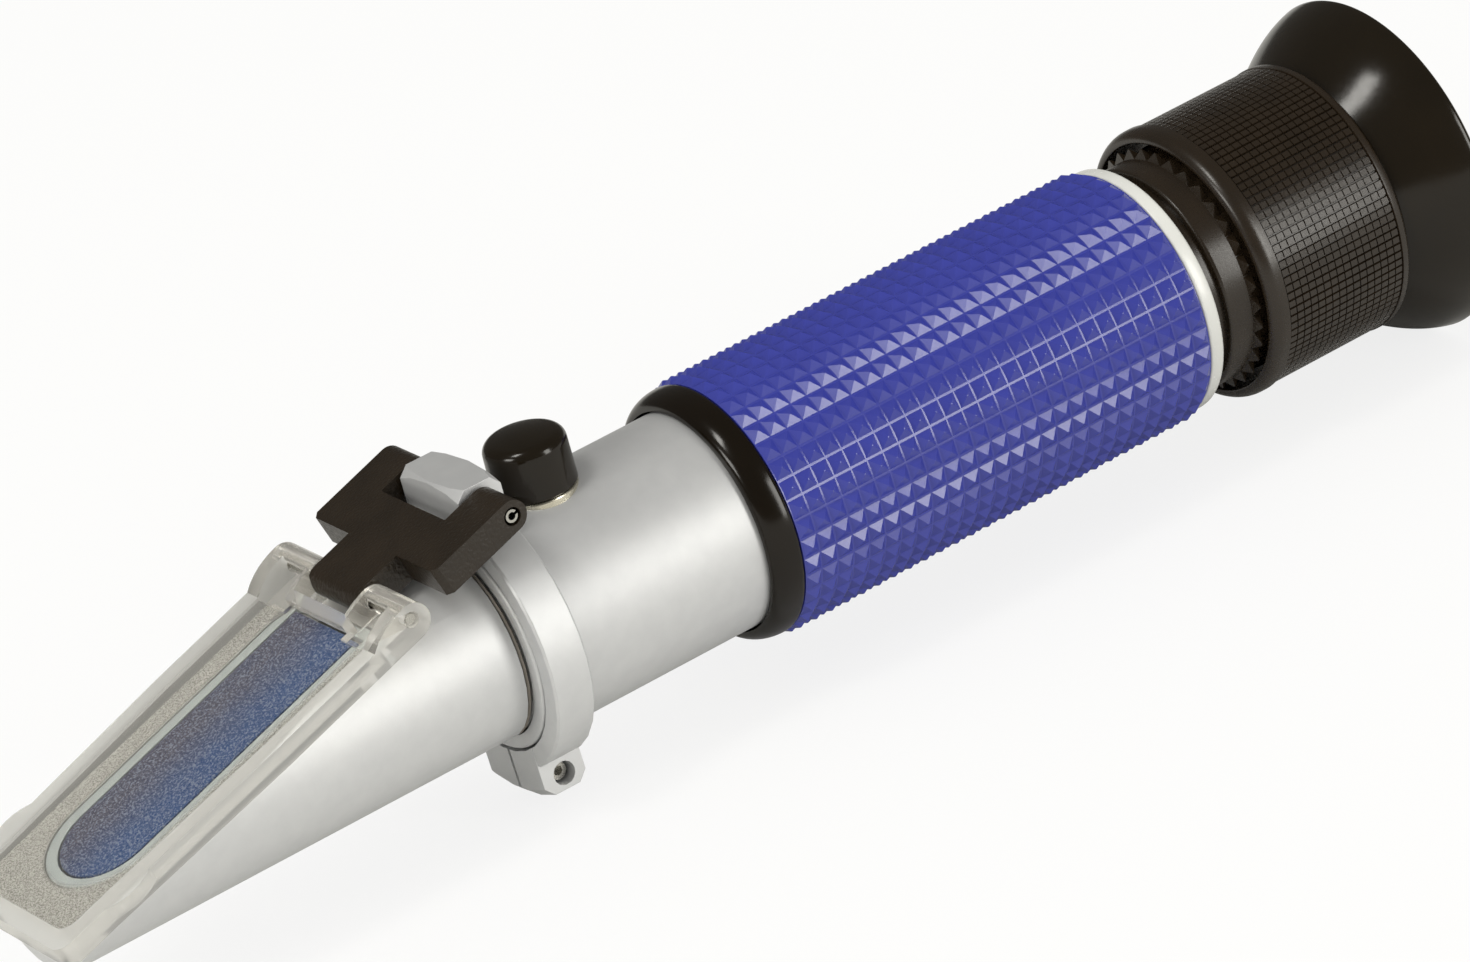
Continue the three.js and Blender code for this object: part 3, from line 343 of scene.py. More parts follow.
@dataclass(frozen=True)
class PrismGlass(Surface):
    """Optical glass with a finely ground face, seen over the dark inside of the head, whose shade
    is painted into its tones.

    A film of liquid keeps its own reflection faint. Widths are in millimetres. The grinding is
    too fine to show in the render, so its flecks are drawn coarser.
    """

    name: str = "ground_prism_glass"
    # Both tones are painted shade: the head's dark inside, seen through the glass.
    dark_half: str = "#3f3e54"
    blue_half: str = "#1c3f74"
    halves: Pair = (-3.0, 3.5)  # where blue ends and dark begins, to the side
    drift: float = 0.6  # how far the line between them wanders
    drift_width: float = 4.0
    fleck: str = "#8b94a9"
    fleck_width: float = 0.26
    fleck_noise: Pair = (0.48, 0.64)  # where flecks begin, and cover most
    fleck_cover: float = 0.6
    roughness: float = 0.25
    ior: float = 1.52
    shine: float = 0.1

    def shade(self, tree: Tree, place: Socket) -> Node:
        """Adds the two tones, the flecks and the shader.

        Args:
            tree: the material's node tree.
            place: the Object coordinates.

        Returns:
            The shader.
        """
        blue_end, dark_start = (half * MM for half in self.halves)
        side = add_node(tree, "ShaderNodeSeparateXYZ", {"Vector": place}).outputs["Y"]
        # Bluer towards -Y, greyer purple towards +Y; both tones are painted shade of the head's
        # dark inside.
        across = add_node(
            tree, MAP_RANGE, {"Value": side, "From Min": blue_end, "From Max": dark_start}
        )
        cloud = add_node(tree, NOISE, {"Vector": place, "Scale": per_mm(self.drift_width)})
        wander = add_node(
            tree, MATH, {0: cloud, 1: self.drift, 2: -self.drift / 2}, operation="MULTIPLY_ADD"
        )
        shift = add_node(tree, MATH, {0: across, 1: wander}, operation="ADD", use_clamp=True)
        tones = {"Factor": shift, "A": linear(self.blue_half), "B": linear(self.dark_half)}
        tone = add_node(tree, MIX, tones, data_type="RGBA")
        speck = add_node(
            tree, NOISE, {"Vector": place, "Scale": per_mm(self.fleck_width), "Detail": 1.0}
        )
        least, most = self.fleck_noise
        reach = {"From Min": least, "From Max": most, "To Max": self.fleck_cover}
        cover = add_node(tree, MAP_RANGE, {"Value": speck} | reach)
        flecked = {"Factor": cover, "A": tone, "B": linear(self.fleck)}
        finish = {
            "Base Color": add_node(tree, MIX, flecked, data_type="RGBA"),
            "Roughness": self.roughness,
            "IOR": self.ior,
            "Specular IOR Level": self.shine,
        }
        return add_node(tree, PRINCIPLED, finish)


@dataclass(frozen=True)
class ClearPlastic(Surface):
    """Cast acrylic or optical glass that light goes through.

    Attributes:
        tint: colour of the light that goes through, as sRGB hex.
        ior: index of refraction.
        roughness: middle roughness of its surface.
        haze: share of the light that is scattered, which makes thick parts milky.
        milk_roughness: roughness of that milky share.
        sway: how far the roughness strays, as a share of it.
        wave: width of that waviness in millimetres.
    """

    tint: str
    ior: float
    roughness: float
    haze: float = 0.0
    milk_roughness: float = 0.3
    sway: float = 0.3
    wave: float = 3.0

    def shade(self, tree: Tree, place: Socket) -> Node:
        """Adds the clear shader, its milky share and the light that passes.

        Args:
            tree: the material's node tree.
            place: the Object coordinates.

        Returns:
            The shader.
        """
        wave = add_node(tree, NOISE, {"Vector": place, "Scale": per_mm(self.wave)})
        least, most = self.roughness * (1 - self.sway), self.roughness * (1 + self.sway)
        rough = add_node(tree, MAP_RANGE, {"Value": wave, "To Min": least, "To Max": most})
        body = {"Base Color": linear(self.tint), "IOR": self.ior}
        clear = add_node(
            tree, PRINCIPLED, body | {"Roughness": rough, "Transmission Weight": 1.0}
        )
        milk = add_node(tree, PRINCIPLED, body | {"Roughness": self.milk_roughness})
        mixed = add_node(tree, MIX_SHADER, {0: self.haze, 1: clear, 2: milk})
        return lit_through(tree, mixed, self.tint)


@dataclass(frozen=True)
class FrostedPad(Surface):
    """The underside of the plate: clear at its borders, sand-blasted round the prism.

    Over the glass the sand-blasting is nearly clear, because the plate rests on it there. Its
    pits are about 0.1 mm wide and are drawn a little coarser, to show. Sizes are in millimetres
    and stations run up the slanted face. A border is half as wide as the soft edge it names.
    """

    name: str = "sandblasted_acrylic"
    tint: str = "#f2f1ec"
    frost: str = "#dcdbd6"
    pit: str = "#8a8883"
    cover: float = 0.75
    wet_cover: float = 0.02
    half_width: float = 10.7
    front: float = -17.9
    rear: float = 27.2
    border: float = 0.15
    glass_front: float = -4.9
    glass_half_width: float = 7.9
    glass_border: float = 0.4
    grain: float = 0.18
    pit_noise: Pair = (0.35, 0.65)  # where pit begins to turn to frost, and ends
    roughness: float = 0.05
    frost_roughness: float = 0.6
    ior: float = 1.49

    def blasted(self, tree: Tree, place: Socket) -> Node:
        """Adds the nodes that say how much of the face the blasting hides.

        Args:
            tree: the material's node tree.
            place: the Object coordinates.

        Returns:
            The hidden share of the face.
        """
        middle = (self.front + self.rear) / 2
        frame_of_face = {
            "Vector": place,
            "Location": face_point(middle, 0, 0),
            "Rotation": (0, -FACE_SLOPE, 0),
        }
        local = add_node(tree, "ShaderNodeMapping", frame_of_face, vector_type="TEXTURE")
        axes = add_node(tree, "ShaderNodeSeparateXYZ", {"Vector": local}).outputs
        # How far a point lies from the middle line of the glass, which is round at its front.
        glass_front = (self.glass_front - middle) * MM
        ahead = add_node(tree, MATH, {0: axes["X"], 1: glass_front}, operation="SUBTRACT")
        past = add_node(tree, MATH, {0: ahead, 1: 0.0}, operation="MINIMUM")
        reach = add_node(tree, COMBINE, {"X": past, "Y": axes["Y"]})
        away = add_node(tree, "ShaderNodeVectorMath", {0: reach}, operation="LENGTH")
        share: Node | float = 1.0
        for distance, edge, border, inside, outside in (
            (away, self.glass_half_width, self.glass_border, self.wet_cover, self.cover),
            (axes["X"], (self.rear - self.front) / 2, self.border, 1.0, 0.0),
            (axes["Y"], self.half_width, self.border, 1.0, 0.0),
        ):
            off = add_node(tree, MATH, {0: distance}, operation="ABSOLUTE")
            step = {
                "Value": off,
                "From Min": (edge - border) * MM,
                "From Max": (edge + border) * MM,
                "To Min": inside,
                "To Max": outside,
            }
            factor = add_node(tree, MAP_RANGE, step)
            share = add_node(tree, MATH, {0: share, 1: factor}, operation="MULTIPLY")
        return share

    def shade(self, tree: Tree, place: Socket) -> Node:
        """Adds the clear and the blasted face and the light that passes.

        Args:
            tree: the material's node tree.
            place: the Object coordinates.

        Returns:
            The shader.
        """
        least, most = self.pit_noise
        grain = add_node(
            tree, NOISE, {"Vector": place, "Scale": per_mm(self.grain), "Detail": 2.0}
        )
        pits = add_node(tree, MAP_RANGE, {"Value": grain, "From Min": least, "From Max": most})
        colours = {"Factor": pits, "A": linear(self.pit), "B": linear(self.frost)}
        clear = {
            "Base Color": linear(self.tint),
            "Roughness": self.roughness,
            "IOR": self.ior,
            "Transmission Weight": 1.0,
        }
        frost = {
            "Base Color": add_node(tree, MIX, colours, data_type="RGBA"),
            "Roughness": self.frost_roughness,
            "IOR": self.ior,
        }
        faces = {1: add_node(tree, PRINCIPLED, clear), 2: add_node(tree, PRINCIPLED, frost)}
        mixed = add_node(tree, MIX_SHADER, {0: self.blasted(tree, place)} | faces)
        return lit_through(tree, mixed, self.tint)


# Cast acrylic, polished by its mould: clear, with soft bright edges.
PLATE_ACRYLIC = ClearPlastic("cast_acrylic", "#f1efea", 1.49, 0.06, haze=0.15)
# The same acrylic in its long rims, where the light that it carries makes it milky.
RIM_ACRYLIC = ClearPlastic("edge_lit_acrylic", "#ebebe9", 1.49, 0.1, haze=0.3)
# The same acrylic where it is thin and well polished, so that the glass shows through.
WINDOW_ACRYLIC = ClearPlastic("polished_cast_acrylic", "#f6f5f2", 1.49, 0.03)
# Crown glass, ground and polished: clear, with sharp reflections.
LENS_GLASS = ClearPlastic("polished_crown_glass", "#eef4f5", 1.52, 0.01)


# Places and meshes


def at(station: float, y: float, z: float) -> Vector:
    """Gives the place of a point measured in millimetres from the optical axis.

    Args:
        station: distance along the axis from the clamp ring.
        y: distance to the side.
        z: height over the axis.

    Returns:
        The point in the frame, in metres.
    """
    return Vector((STATION_ZERO + station * MM, y * MM, AXIS_HEIGHT + z * MM))


def face_point(along: float, side: float, above: float) -> Vector:
    """Gives the place of a point measured in millimetres on the slanted face.

    Args:
        along: distance up the face from where it crosses the axis.
        side: distance to the side.
        above: height over the face.

    Returns:
        The point in the frame, in metres.
    """
    station = FACE_CROSSING + along * math.cos(FACE_SLOPE) - above * math.sin(FACE_SLOPE)
    return at(station, side, along * math.sin(FACE_SLOPE) + above * math.cos(FACE_SLOPE))


def as_object(name: str, shape: bmesh.types.BMesh) -> Thing:
    """Turns a bmesh into an object at the origin, smooth but for its sharp edges.

    Args:
        name: the object's name.
        shape: the bmesh, which is freed.

    Returns:
        The new object.
    """
    bmesh.ops.recalc_face_normals(shape, faces=shape.faces)
    mesh = bpy.data.meshes.new(name)
    shape.to_mesh(mesh)
    shape.free()
    mesh.shade_smooth()
    mesh.set_sharp_from_angle(angle=SHARP_ANGLE)
    thing = bpy.data.objects.new(name, mesh)
    bpy.context.scene.collection.objects.link(thing)
    return thing


def turned(name: str, outline: Outline, sides: int = SIDES, upright: float | None = None) -> Thing:
    """Turns a closed outline round the optical axis, or round an upright one.

    Args:
        name: the object's name.
        outline: corner points as (station or height, radius), in millimetres.
        sides: number of steps round the axis.
        upright: the station of the upright axis, if it is that one.

    Returns:
        The turned object.
    """
    shape = bmesh.new()
    turns = [2 * math.pi * i / sides for i in range(sides)]
    rings = []
    for reach, radius in outline:
        circle = [(radius * math.cos(turn), radius * math.sin(turn)) for turn in turns]
        if upright is None:
            spots = [at(reach, y, z) for y, z in circle]
        else:
            spots = [at(upright + x, y, reach) for x, y in circle]
        rings.append([shape.verts.new(spot) for spot in spots])
    for first, second in zip(rings, rings[1:] + rings[:1]):
        for i in range(sides):
            j = (i + 1) % sides
            shape.faces.new((first[i], first[j], second[j], second[i]))
    bmesh.ops.remove_doubles(shape, verts=shape.verts, dist=WELD)
    return as_object(name, shape)


def arc(centre: Pair, radius: Pair, sweep: Pair, steps: int) -> Outline:
    """Gives the points of an elliptic arc in an outline.

    Args:
        centre: station and radius of its middle.
        radius: half axes along the station and the radius.
        sweep: first and last angle in degrees, 0 along the axis that it is turned round.
        steps: number of straight pieces.

    Returns:
        The arc's points.
    """
    points = []
    for i in range(steps + 1):
        turn = math.radians(sweep[0] + (sweep[1] - sweep[0]) * i / steps)
        across, up = radius[0] * math.cos(turn), radius[1] * math.sin(turn)
        points.append((centre[0] + across, centre[1] + up))
    return points


def rounded(corner: Corner, tip: Pair, size: float | Pair, steps: int) -> Outline:
    """Gives the points that take a corner of an outline round.

    Args:
        corner: which way the corner points.
        tip: where the sharp corner would be.
        size: radius of the rounding, or its reach along the station and the radius.
        steps: number of straight pieces.

    Returns:
        The points, in the order of the outline.
    """
    reach, rise = size if isinstance(size, tuple) else (size, size)
    first, ahead, out = corner.value
    centre = (tip[0] - ahead * reach, tip[1] - out * rise)
    return arc(centre, (reach, rise), (first, first - 90), steps)


def applied(thing: Thing) -> Thing:
    """Makes an object's modifiers part of its mesh.

    Args:
        thing: an object with modifiers.

    Returns:
        The same object, without modifiers.
    """
    graph = bpy.context.evaluated_depsgraph_get()
    graph.update()
    mesh = bpy.data.meshes.new_from_object(thing.evaluated_get(graph))
    thing.modifiers.clear()
    old = thing.data
    thing.data = mesh
    bpy.data.meshes.remove(old)
    return thing


def rounded_copy(node: str, name: str, width: float, segments: int = 3) -> Thing:
    """Copies a CAD node with its facets joined and its edges rounded.

    Args:
        node: the CAD node's name.
        name: the copy's name.
        width: width of the rounding in millimetres.
        segments: faces across each rounding.

    Returns:
        The rounded copy.
    """
    shape = bmesh.new()
    shape.from_mesh(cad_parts[node].data)
    bmesh.ops.remove_doubles(shape, verts=shape.verts, dist=CAD_WELD)
    bmesh.ops.dissolve_limit(shape, angle_limit=FLAT_ANGLE, verts=shape.verts, edges=shape.edges)
    thing = as_object(name, shape)
    bevel = thing.modifiers.new("rounding", "BEVEL")
    bevel.width = width * MM
    bevel.segments = segments
    bevel.limit_method = "ANGLE"
    bevel.angle_limit = SHARP_ANGLE
    applied(thing)
    thing.data.shade_smooth()
    thing.data.set_sharp_from_angle(angle=ROUNDED_SHARP_ANGLE)
    # Large faces stay flat, and only their roundings turn the light.
    flat = thing.modifiers.new("flat_faces", "WEIGHTED_NORMAL")
    flat.weight = LARGEST_FACE
    flat.keep_sharp = True
    return applied(thing)


def dress_nodes(finish: Surface, *nodes: str) -> None:
    """Gives CAD nodes a better material in their own slots.

    Args:
        finish: their finish.
        *nodes: the CAD nodes' names.
    """
    for node in nodes:
        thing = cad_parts[node]
        for place in thing.material_slots:
            place.link = "OBJECT"
            place.material = finish.build()
        log.info("node %s is %s", node, finish.name)


def settle(thing: Thing, node: str, body: Body, slot: Slot, *finishes: Surface) -> None:
    """Dresses a finished piece and puts it on its body, in the place of its CAD node.

    Args:
        thing: the piece.
        node: the CAD node that it replaces.
        body: the body that it rides on.
        slot: the record's slot of its finish. It is not used.
        *finishes: one finish for each material slot. Studs bring their own.
    """
    for finish in finishes:
        thing.data.materials.append(finish.build())
    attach(thing, body.value)
    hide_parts(node)
    log.info("piece %s rides on %s", thing.name, body.value)


# Patterns that repeat round the axis


@dataclass(frozen=True)
class StudField:
    """Rows of four-sided studs round the optical axis, added to a turned piece.

    Sizes are in millimetres.

    Attributes:
        rows: studs along the axis.
        columns: studs round the axis.
        pitch: distance from row to row.
        radius: radius of the surface that carries the studs.
        height: stud height.
        share: stud width as a share of its pitch, along the axis and around it.
        top: width of the stud's flat top as a share of its foot.
        sink: how deep the foot reaches into the surface.
        turn: shift round the axis as a share of one column.
    """

    rows: int
    columns: int
    pitch: float
    radius: float
    height: float
    share: Pair
    top: float
    sink: float
    turn: float = 0.0

    def length(self) -> float:
        """Gives the length of all rows."""
        return self.rows * self.pitch

    def inputs(self, front: float) -> dict[str, int | float]:
        """Works out the tree's named inputs, with lengths in metres and angles in radians.

        Args:
            front: station where the first row starts.

        Returns:
            The value of each input by its name.
        """
        column = 2 * math.pi / self.columns
        return {
            "Rows": self.rows,
            "Columns": self.columns,
            "First Row": STATION_ZERO + (front + self.pitch / 2) * MM,
            "Pitch": self.pitch * MM,
            "First Column": self.turn * column,
            "Column Angle": column,
            "Radius": (self.radius - self.sink) * MM,
            "Axis Height": AXIS_HEIGHT,
            "Along": self.pitch * self.share[0] * MM,
            "Around": self.radius * column * self.share[1] * MM,
            "Height": self.height * MM,
            "Top Share": self.top,
        }

    def places(self, tree: Tree, given: bpy.types.NodeOutputs) -> dict[str, Node]:
        """Adds the nodes that set and turn one point for each stud.

        Args:
            tree: the node tree.
            given: its named inputs.

        Returns:
            The points and their rotation, as inputs of Instance on Points.
        """
        index = add_node(tree, "GeometryNodeInputIndex")
        count, row, column = (
            add_node(tree, "FunctionNodeIntegerMath", {0: of, 1: given["Columns"]}, operation=rule)
            for of, rule in (
                (given["Rows"], "MULTIPLY"),
                (index, "DIVIDE_FLOOR"),
                (index, "MODULO"),
            )
        )
        along = {0: row, 1: given["Pitch"], 2: given["First Row"]}
        around = {0: column, 1: given["Column Angle"], 2: given["First Column"]}
        turn = add_node(tree, MATH, around, operation="MULTIPLY_ADD")
        place = {"X": add_node(tree, MATH, along, operation="MULTIPLY_ADD")}
        for axis, wave, middle in (("Y", "COSINE", 0.0), ("Z", "SINE", given["Axis Height"])):
            share = add_node(tree, MATH, {0: turn}, operation=wave)
            off = {0: share, 1: given["Radius"], 2: middle}
            place[axis] = add_node(tree, MATH, off, operation="MULTIPLY_ADD")
        spots = {"Count": count, "Position": add_node(tree, COMBINE, place)}
        points = add_node(tree, "GeometryNodePoints", spots)
        return {"Points": points, "Rotation": add_node(tree, COMBINE, {"X": turn})}

    def stud(self, tree: Tree, given: bpy.types.NodeOutputs) -> Node:
        """Adds the nodes that make one stud, which stands up towards +Y.

        Args:
            tree: the node tree.
            given: its named inputs.

        Returns:
            The last of the nodes.
        """
        foot = {"Vertices": 4, "Radius Bottom": 1.0, "Depth": 1.0}
        cone = add_node(tree, "GeometryNodeMeshCone", {"Radius Top": given["Top Share"]} | foot)
        # Square to the axis, and one wide from side to side.
        half = math.sqrt(0.5)
        square = {"Geometry": cone, "Rotation": (0.0, 0.0, math.pi / 4), "Scale": (half, half, 1.0)}
        width = {"X": given["Along"], "Y": given["Around"], "Z": given["Height"]}
        upright = {
            "Geometry": add_node(tree, TRANSFORM, square),
            "Rotation": (-math.pi / 2, 0.0, 0.0),
            "Scale": add_node(tree, COMBINE, width),
        }
        return add_node(tree, TRANSFORM, upright)

    def tree(self, values: dict[str, object]) -> Tree:
        """Builds the node tree that joins the studs to the piece it is put on.

        Args:
            values: the value of each input by its name.

        Returns:
            The node tree.
        """
        kinds = {int: "NodeSocketInt", float: "NodeSocketFloat", Material: "NodeSocketMaterial"}
        tree = bpy.data.node_groups.new("stud_field", "GeometryNodeTree")
        sockets = tree.interface
        sockets.new_socket("Piece", in_out="INPUT", socket_type="NodeSocketGeometry")
        for name, value in values.items():
            sockets.new_socket(name, in_out="INPUT", socket_type=kinds[type(value)])
        sockets.new_socket("Piece", in_out="OUTPUT", socket_type="NodeSocketGeometry")
        given = add_node(tree, "NodeGroupInput").outputs
        spread = {"Instance": self.stud(tree, given)} | self.places(tree, given)
        studs = add_node(tree, "GeometryNodeInstanceOnPoints", spread)
        joined = add_node(tree, "GeometryNodeJoinGeometry", {0: studs})
        tree.links.new(given["Piece"], joined.inputs[0])
        real = add_node(tree, "GeometryNodeRealizeInstances", {"Geometry": joined})
        painted = {"Geometry": real, "Material": given["Finish"]}
        last = add_node(tree, "GeometryNodeSetMaterial", painted)
        add_node(tree, "NodeGroupOutput", {0: last})
        return tree

    def put_on(self, thing: Thing, front: float, finish: Surface) -> None:
        """Adds the studs to a turned piece and makes the whole one plain mesh.

        Args:
            thing: the turned piece.
            front: station where the first row starts.
            finish: the finish of piece and studs.
        """
        values = {"Finish": finish.build()} | self.inputs(front)
        modifier = thing.modifiers.new("studs", "NODES")
        modifier.node_group = self.tree(values)
        for item in modifier.node_group.interface.items_tree:
            if item.in_out == "INPUT" and item.name in values:
                modifier[item.identifier] = values[item.name]
        applied(thing)


# Sub-assemblies, with their sizes in millimetres


@dataclass
class PrismEnd:
    """The slanted head with its prism and seals."""

    edge: float = 0.12
    edge_faces: int = 2

    def build(self) -> None:
        """Builds the head and dresses the glass."""
        head = rounded_copy("prism_head", "head_casting", self.edge, self.edge_faces)
        settle(head, "prism_head", Body.INSTRUMENT, Slot.ALUMINIUM, SATIN_ALUMINIUM)
        dress_nodes(PrismGlass(), "main_prism")
        dress_nodes(SEALANT, "prism_seal")
        dress_nodes(SEAL_RUBBER, "head_seal")


@dataclass
class DaylightPlate:
    """The hinged clear plate over the prism, with its heights counted from the glass."""

    edge: float = 0.25
    underside: float = 0.3
    window: float = 2.55
    rim_rear: float = 16.0  # where the long rims end, measured up the face
    facing: float = 0.99  # least cosine between a level face and its direction
    slack: float = 0.05  # how far a level face may stray from its height

    def divide(self, plate: Thing) -> None:
        """Gives the faces of the plate the slots of their zones.

        Args:
            plate: the plate, with one material slot for each zone.
        """
        foot = face_point(0, 0, 0)
        up = (face_point(0, 0, 1) - foot).normalized()
        along = (face_point(1, 0, 0) - foot).normalized()
        levels = (
            (PlateZone.UNDERSIDE, -up, self.underside),
            (PlateZone.WINDOW, up, self.window),
        )
        for face in plate.data.polygons:
            corners = [plate.data.vertices[i].co - foot for i in face.vertices]
            if min(corner.dot(along) for corner in corners) < self.rim_rear * MM:
                face.material_index = PlateZone.RIM.value
            for zone, side, height in levels:
                off = (face.center - foot).dot(up) - height * MM
                if face.normal.dot(side) > self.facing and abs(off) < self.slack * MM:
                    face.material_index = zone.value

    def build(self) -> None:
        """Builds the plate with its frosted underside and dresses its pin."""
        plate = rounded_copy("daylight_plate", "acrylic_plate", self.edge)
        finishes = (PLATE_ACRYLIC, RIM_ACRYLIC, FrostedPad(), WINDOW_ACRYLIC)
        settle(plate, "daylight_plate", Body.PLATE, Slot.PLATE, *finishes)
        self.divide(plate)
        dress_nodes(BRIGHT_STEEL, "plate_pin")


@dataclass
class HingeBlock:
    """The dark casting between the plate and the clamp ring."""

    edge: float = 0.35

    def build(self) -> None:
        """Builds the casting and dresses its pin."""
        block = rounded_copy("hinge_block", "hinge_casting", self.edge)
        settle(block, "hinge_block", Body.HINGE, Slot.CASTING, ENAMELLED_CASTING)
        dress_nodes(BRIGHT_STEEL, "hinge_pin")


@dataclass
class ClampRing:
    """The split ring with its knuckle and its screw."""

    edge: float = 0.2

    def build(self) -> None:
        """Builds the ring and dresses its screw."""
        ring = rounded_copy("clamp_ring", "clamp_ring_body", self.edge)
        settle(ring, "clamp_ring", Body.INSTRUMENT, Slot.ALUMINIUM, SATIN_ALUMINIUM)
        dress_nodes(BRIGHT_STEEL, "clamp_screw")


@dataclass
class BodyTube:
    """The aluminium tube between the clamp ring and the grip."""

    front: float = TUBE_FRONT
    length: float = 92.2
    radius: float = 13.0
    wall: float = 1.6
    lip: float = 0.4

    def build(self) -> None:
        """Builds the tube."""
        rear = self.front + self.length
        bore = self.radius - self.wall
        outline = [(self.front, bore)]
        outline += rounded(Corner.FRONT_OUTER, (self.front, self.radius), self.lip, steps=4)
        outline += [(rear, self.radius), (rear, bore)]
        tube = turned("tube_body", outline)
        settle(tube, "body_tube", Body.INSTRUMENT, Slot.ALUMINIUM, SATIN_ALUMINIUM)


@dataclass
class Calibration:
    """The bush, screw and cap on top of the tube, and the lens carriage below them.

    Heights are counted from the optical axis.
    """

    cap_foot: float = 13.1
    cap_top: float = 19.7
    cap_roof: float = 17.9
    cap_hollow: float = 3.6
    cap_foot_radius: float = 4.75
    cap_foot_chamfer: float = 0.15
    cap_top_radius: float = 4.7
    cap_edge: float = 1.4
    cap_edge_sweep: Pair = (90, 12)
    cap_dome: float = 0.35
    cap_dome_knee: Pair = (1 / 4, 1 / 3)  # where it steepens: how far down, how far out
    bush_foot: float = 10.9
    bush_ledge: float = 12.0
    bush_flange_top: float = 13.06
    bush_flange_round: float = 0.3
    bush_top: float = 17.6
    bush_top_chamfer: float = 0.2
    bush_bore: float = 1.8
    bush_spigot: float = 2.6
    bush_flange: float = 4.68
    bush_neck: float = 3.3

    def cap(self, station: float) -> None:
        """Builds the rubber cap.

        Args:
            station: the station of its upright axis.
        """
        foot, top, edge, chamfer = self.cap_foot, self.cap_top, self.cap_edge, self.cap_foot_chamfer
        middle = (top - self.cap_dome - edge, self.cap_top_radius - edge)
        outline = [(foot, self.cap_hollow), (foot, self.cap_foot_radius - chamfer)]
        outline += [(foot + chamfer, self.cap_foot_radius)]
        outline += arc(middle, (edge, edge), self.cap_edge_sweep, steps=8)
        down, out = self.cap_dome_knee
        outline += [(top - self.cap_dome * down, self.cap_top_radius * out), (top, 0.0)]
        outline += [(self.cap_roof, 0.0), (self.cap_roof, self.cap_hollow)]
        cap = turned("cap_skin", outline, SMALL_SIDES, station)
        settle(cap, "calibration_cap", Body.CAP, Slot.RUBBER, POLISHED_RUBBER)

    def bush(self, station: float) -> None:
        """Builds the bush, whose flange shows below the cap.

        Args:
            station: the station of its upright axis.
        """
        top, chamfer = self.bush_top, self.bush_top_chamfer
        flange = (self.bush_flange_top, self.bush_flange)
        outline = [(self.bush_foot, self.bush_bore), (self.bush_foot, self.bush_spigot)]
        outline += [(self.bush_ledge, self.bush_spigot), (self.bush_ledge, self.bush_flange)]
        outline += rounded(Corner.REAR_OUTER, flange, self.bush_flange_round, steps=4)
        outline += [(self.bush_flange_top, self.bush_neck), (top - chamfer, self.bush_neck)]
        outline += [(top, self.bush_neck - chamfer), (top, self.bush_bore)]
        bush = turned("flanged_bush", outline, SMALL_SIDES, station)
        settle(bush, "calibration_bush", Body.INSTRUMENT, Slot.BRASS, NICKELLED_BRASS)

    def build(self) -> None:
        """Builds the cap and the bush and dresses what they cover."""
        low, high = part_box("calibration_bush")
        station = ((low.x + high.x) / 2 - STATION_ZERO) / MM
        self.cap(station)
        self.bush(station)
        dress_nodes(TURNED_BRASS, "lens_carriage", "thermal_strip")
        dress_nodes(BRIGHT_STEEL, "calibration_screw", "carriage_spring")
        dress_nodes(LENS_GLASS, "objective_lens")


@dataclass
class Grip:
    """The ribbed sleeve between its two collars."""

    bore: float = 13.3
    collar_front: float = 27.75
    collar_length: float = 3.5
    collar_radius: float = 15.05
    collar_lip: float = 13.5
    collar_fall: Pair = (0.5, 0.2)
    gap: float = 0.15
    pyramids: StudField = StudField(
        rows=26, columns=40, pitch=2.18, radius=14.9, height=0.65, share=(0.93, 0.88),
        top=0.06, sink=0.03, turn=0.5,
    )
    column_sides: int = 4  # sides of the sleeve to each column of pyramids
    rear_length: float = 1.97
    rear_radius: float = 14.9
    rear_rounds: Pair = (0.3, 0.6)

    def front_collar(self) -> float:
        """Builds the glossy collar that leads into the sleeve.

        Returns:
            The station of its rear end.
        """
        front, rear = self.collar_front, self.collar_front + self.collar_length
        swell = (self.collar_length - self.collar_fall[0], self.collar_radius - self.collar_lip)
        outline = [(front, self.bore)]
        outline += rounded(Corner.FRONT_OUTER, (front, self.collar_radius), swell, steps=14)
        fall = rounded(Corner.REAR_OUTER, (rear, self.collar_radius), self.collar_fall, steps=8)
        outline += fall[1:] + [(rear, self.bore)]
        collar = turned("collar_ring", outline)
        settle(collar, "front_collar", Body.INSTRUMENT, Slot.COLLAR, GLOSS_ABS)
        return rear

    def sleeve(self, collar_rear: float) -> float:
        """Builds the rubber sleeve with its pyramids.

        Args:
            collar_rear: the station where the front collar ends.

        Returns:
            The station of its rear end.
        """
        front = collar_rear + self.gap
        rear = front + self.pyramids.length()
        valley = self.pyramids.radius
        outline = [(front, self.bore), (front, valley), (rear, valley), (rear, self.bore)]
        sides = self.pyramids.columns * self.column_sides
        sleeve = turned("grip_rubber", outline, sides)
        self.pyramids.put_on(sleeve, front, GRIP_RUBBER)
        sleeve.data.shade_flat()
        settle(sleeve, "grip_sleeve", Body.INSTRUMENT, Slot.GRIP)
        return rear

    def rear_collar(self, sleeve_rear: float) -> None:
        """Builds the pale collar behind the sleeve.

        Args:
            sleeve_rear: the station where the sleeve ends.
        """
        front = sleeve_rear + self.gap
        rear = front + self.rear_length
        front_round, rear_round = self.rear_rounds
        outline = [(front, self.bore)]
        outline += rounded(Corner.FRONT_OUTER, (front, self.rear_radius), front_round, steps=3)
        outline += rounded(Corner.REAR_OUTER, (rear, self.rear_radius), rear_round, steps=5)
        outline += [(rear, self.bore)]
        collar = turned("pale_ring", outline)
        settle(collar, "rear_collar", Body.INSTRUMENT, Slot.PALE, PALE_ABS)

    def build(self) -> None:
        """Builds the sleeve and both collars."""
        self.rear_collar(self.sleeve(self.front_collar()))


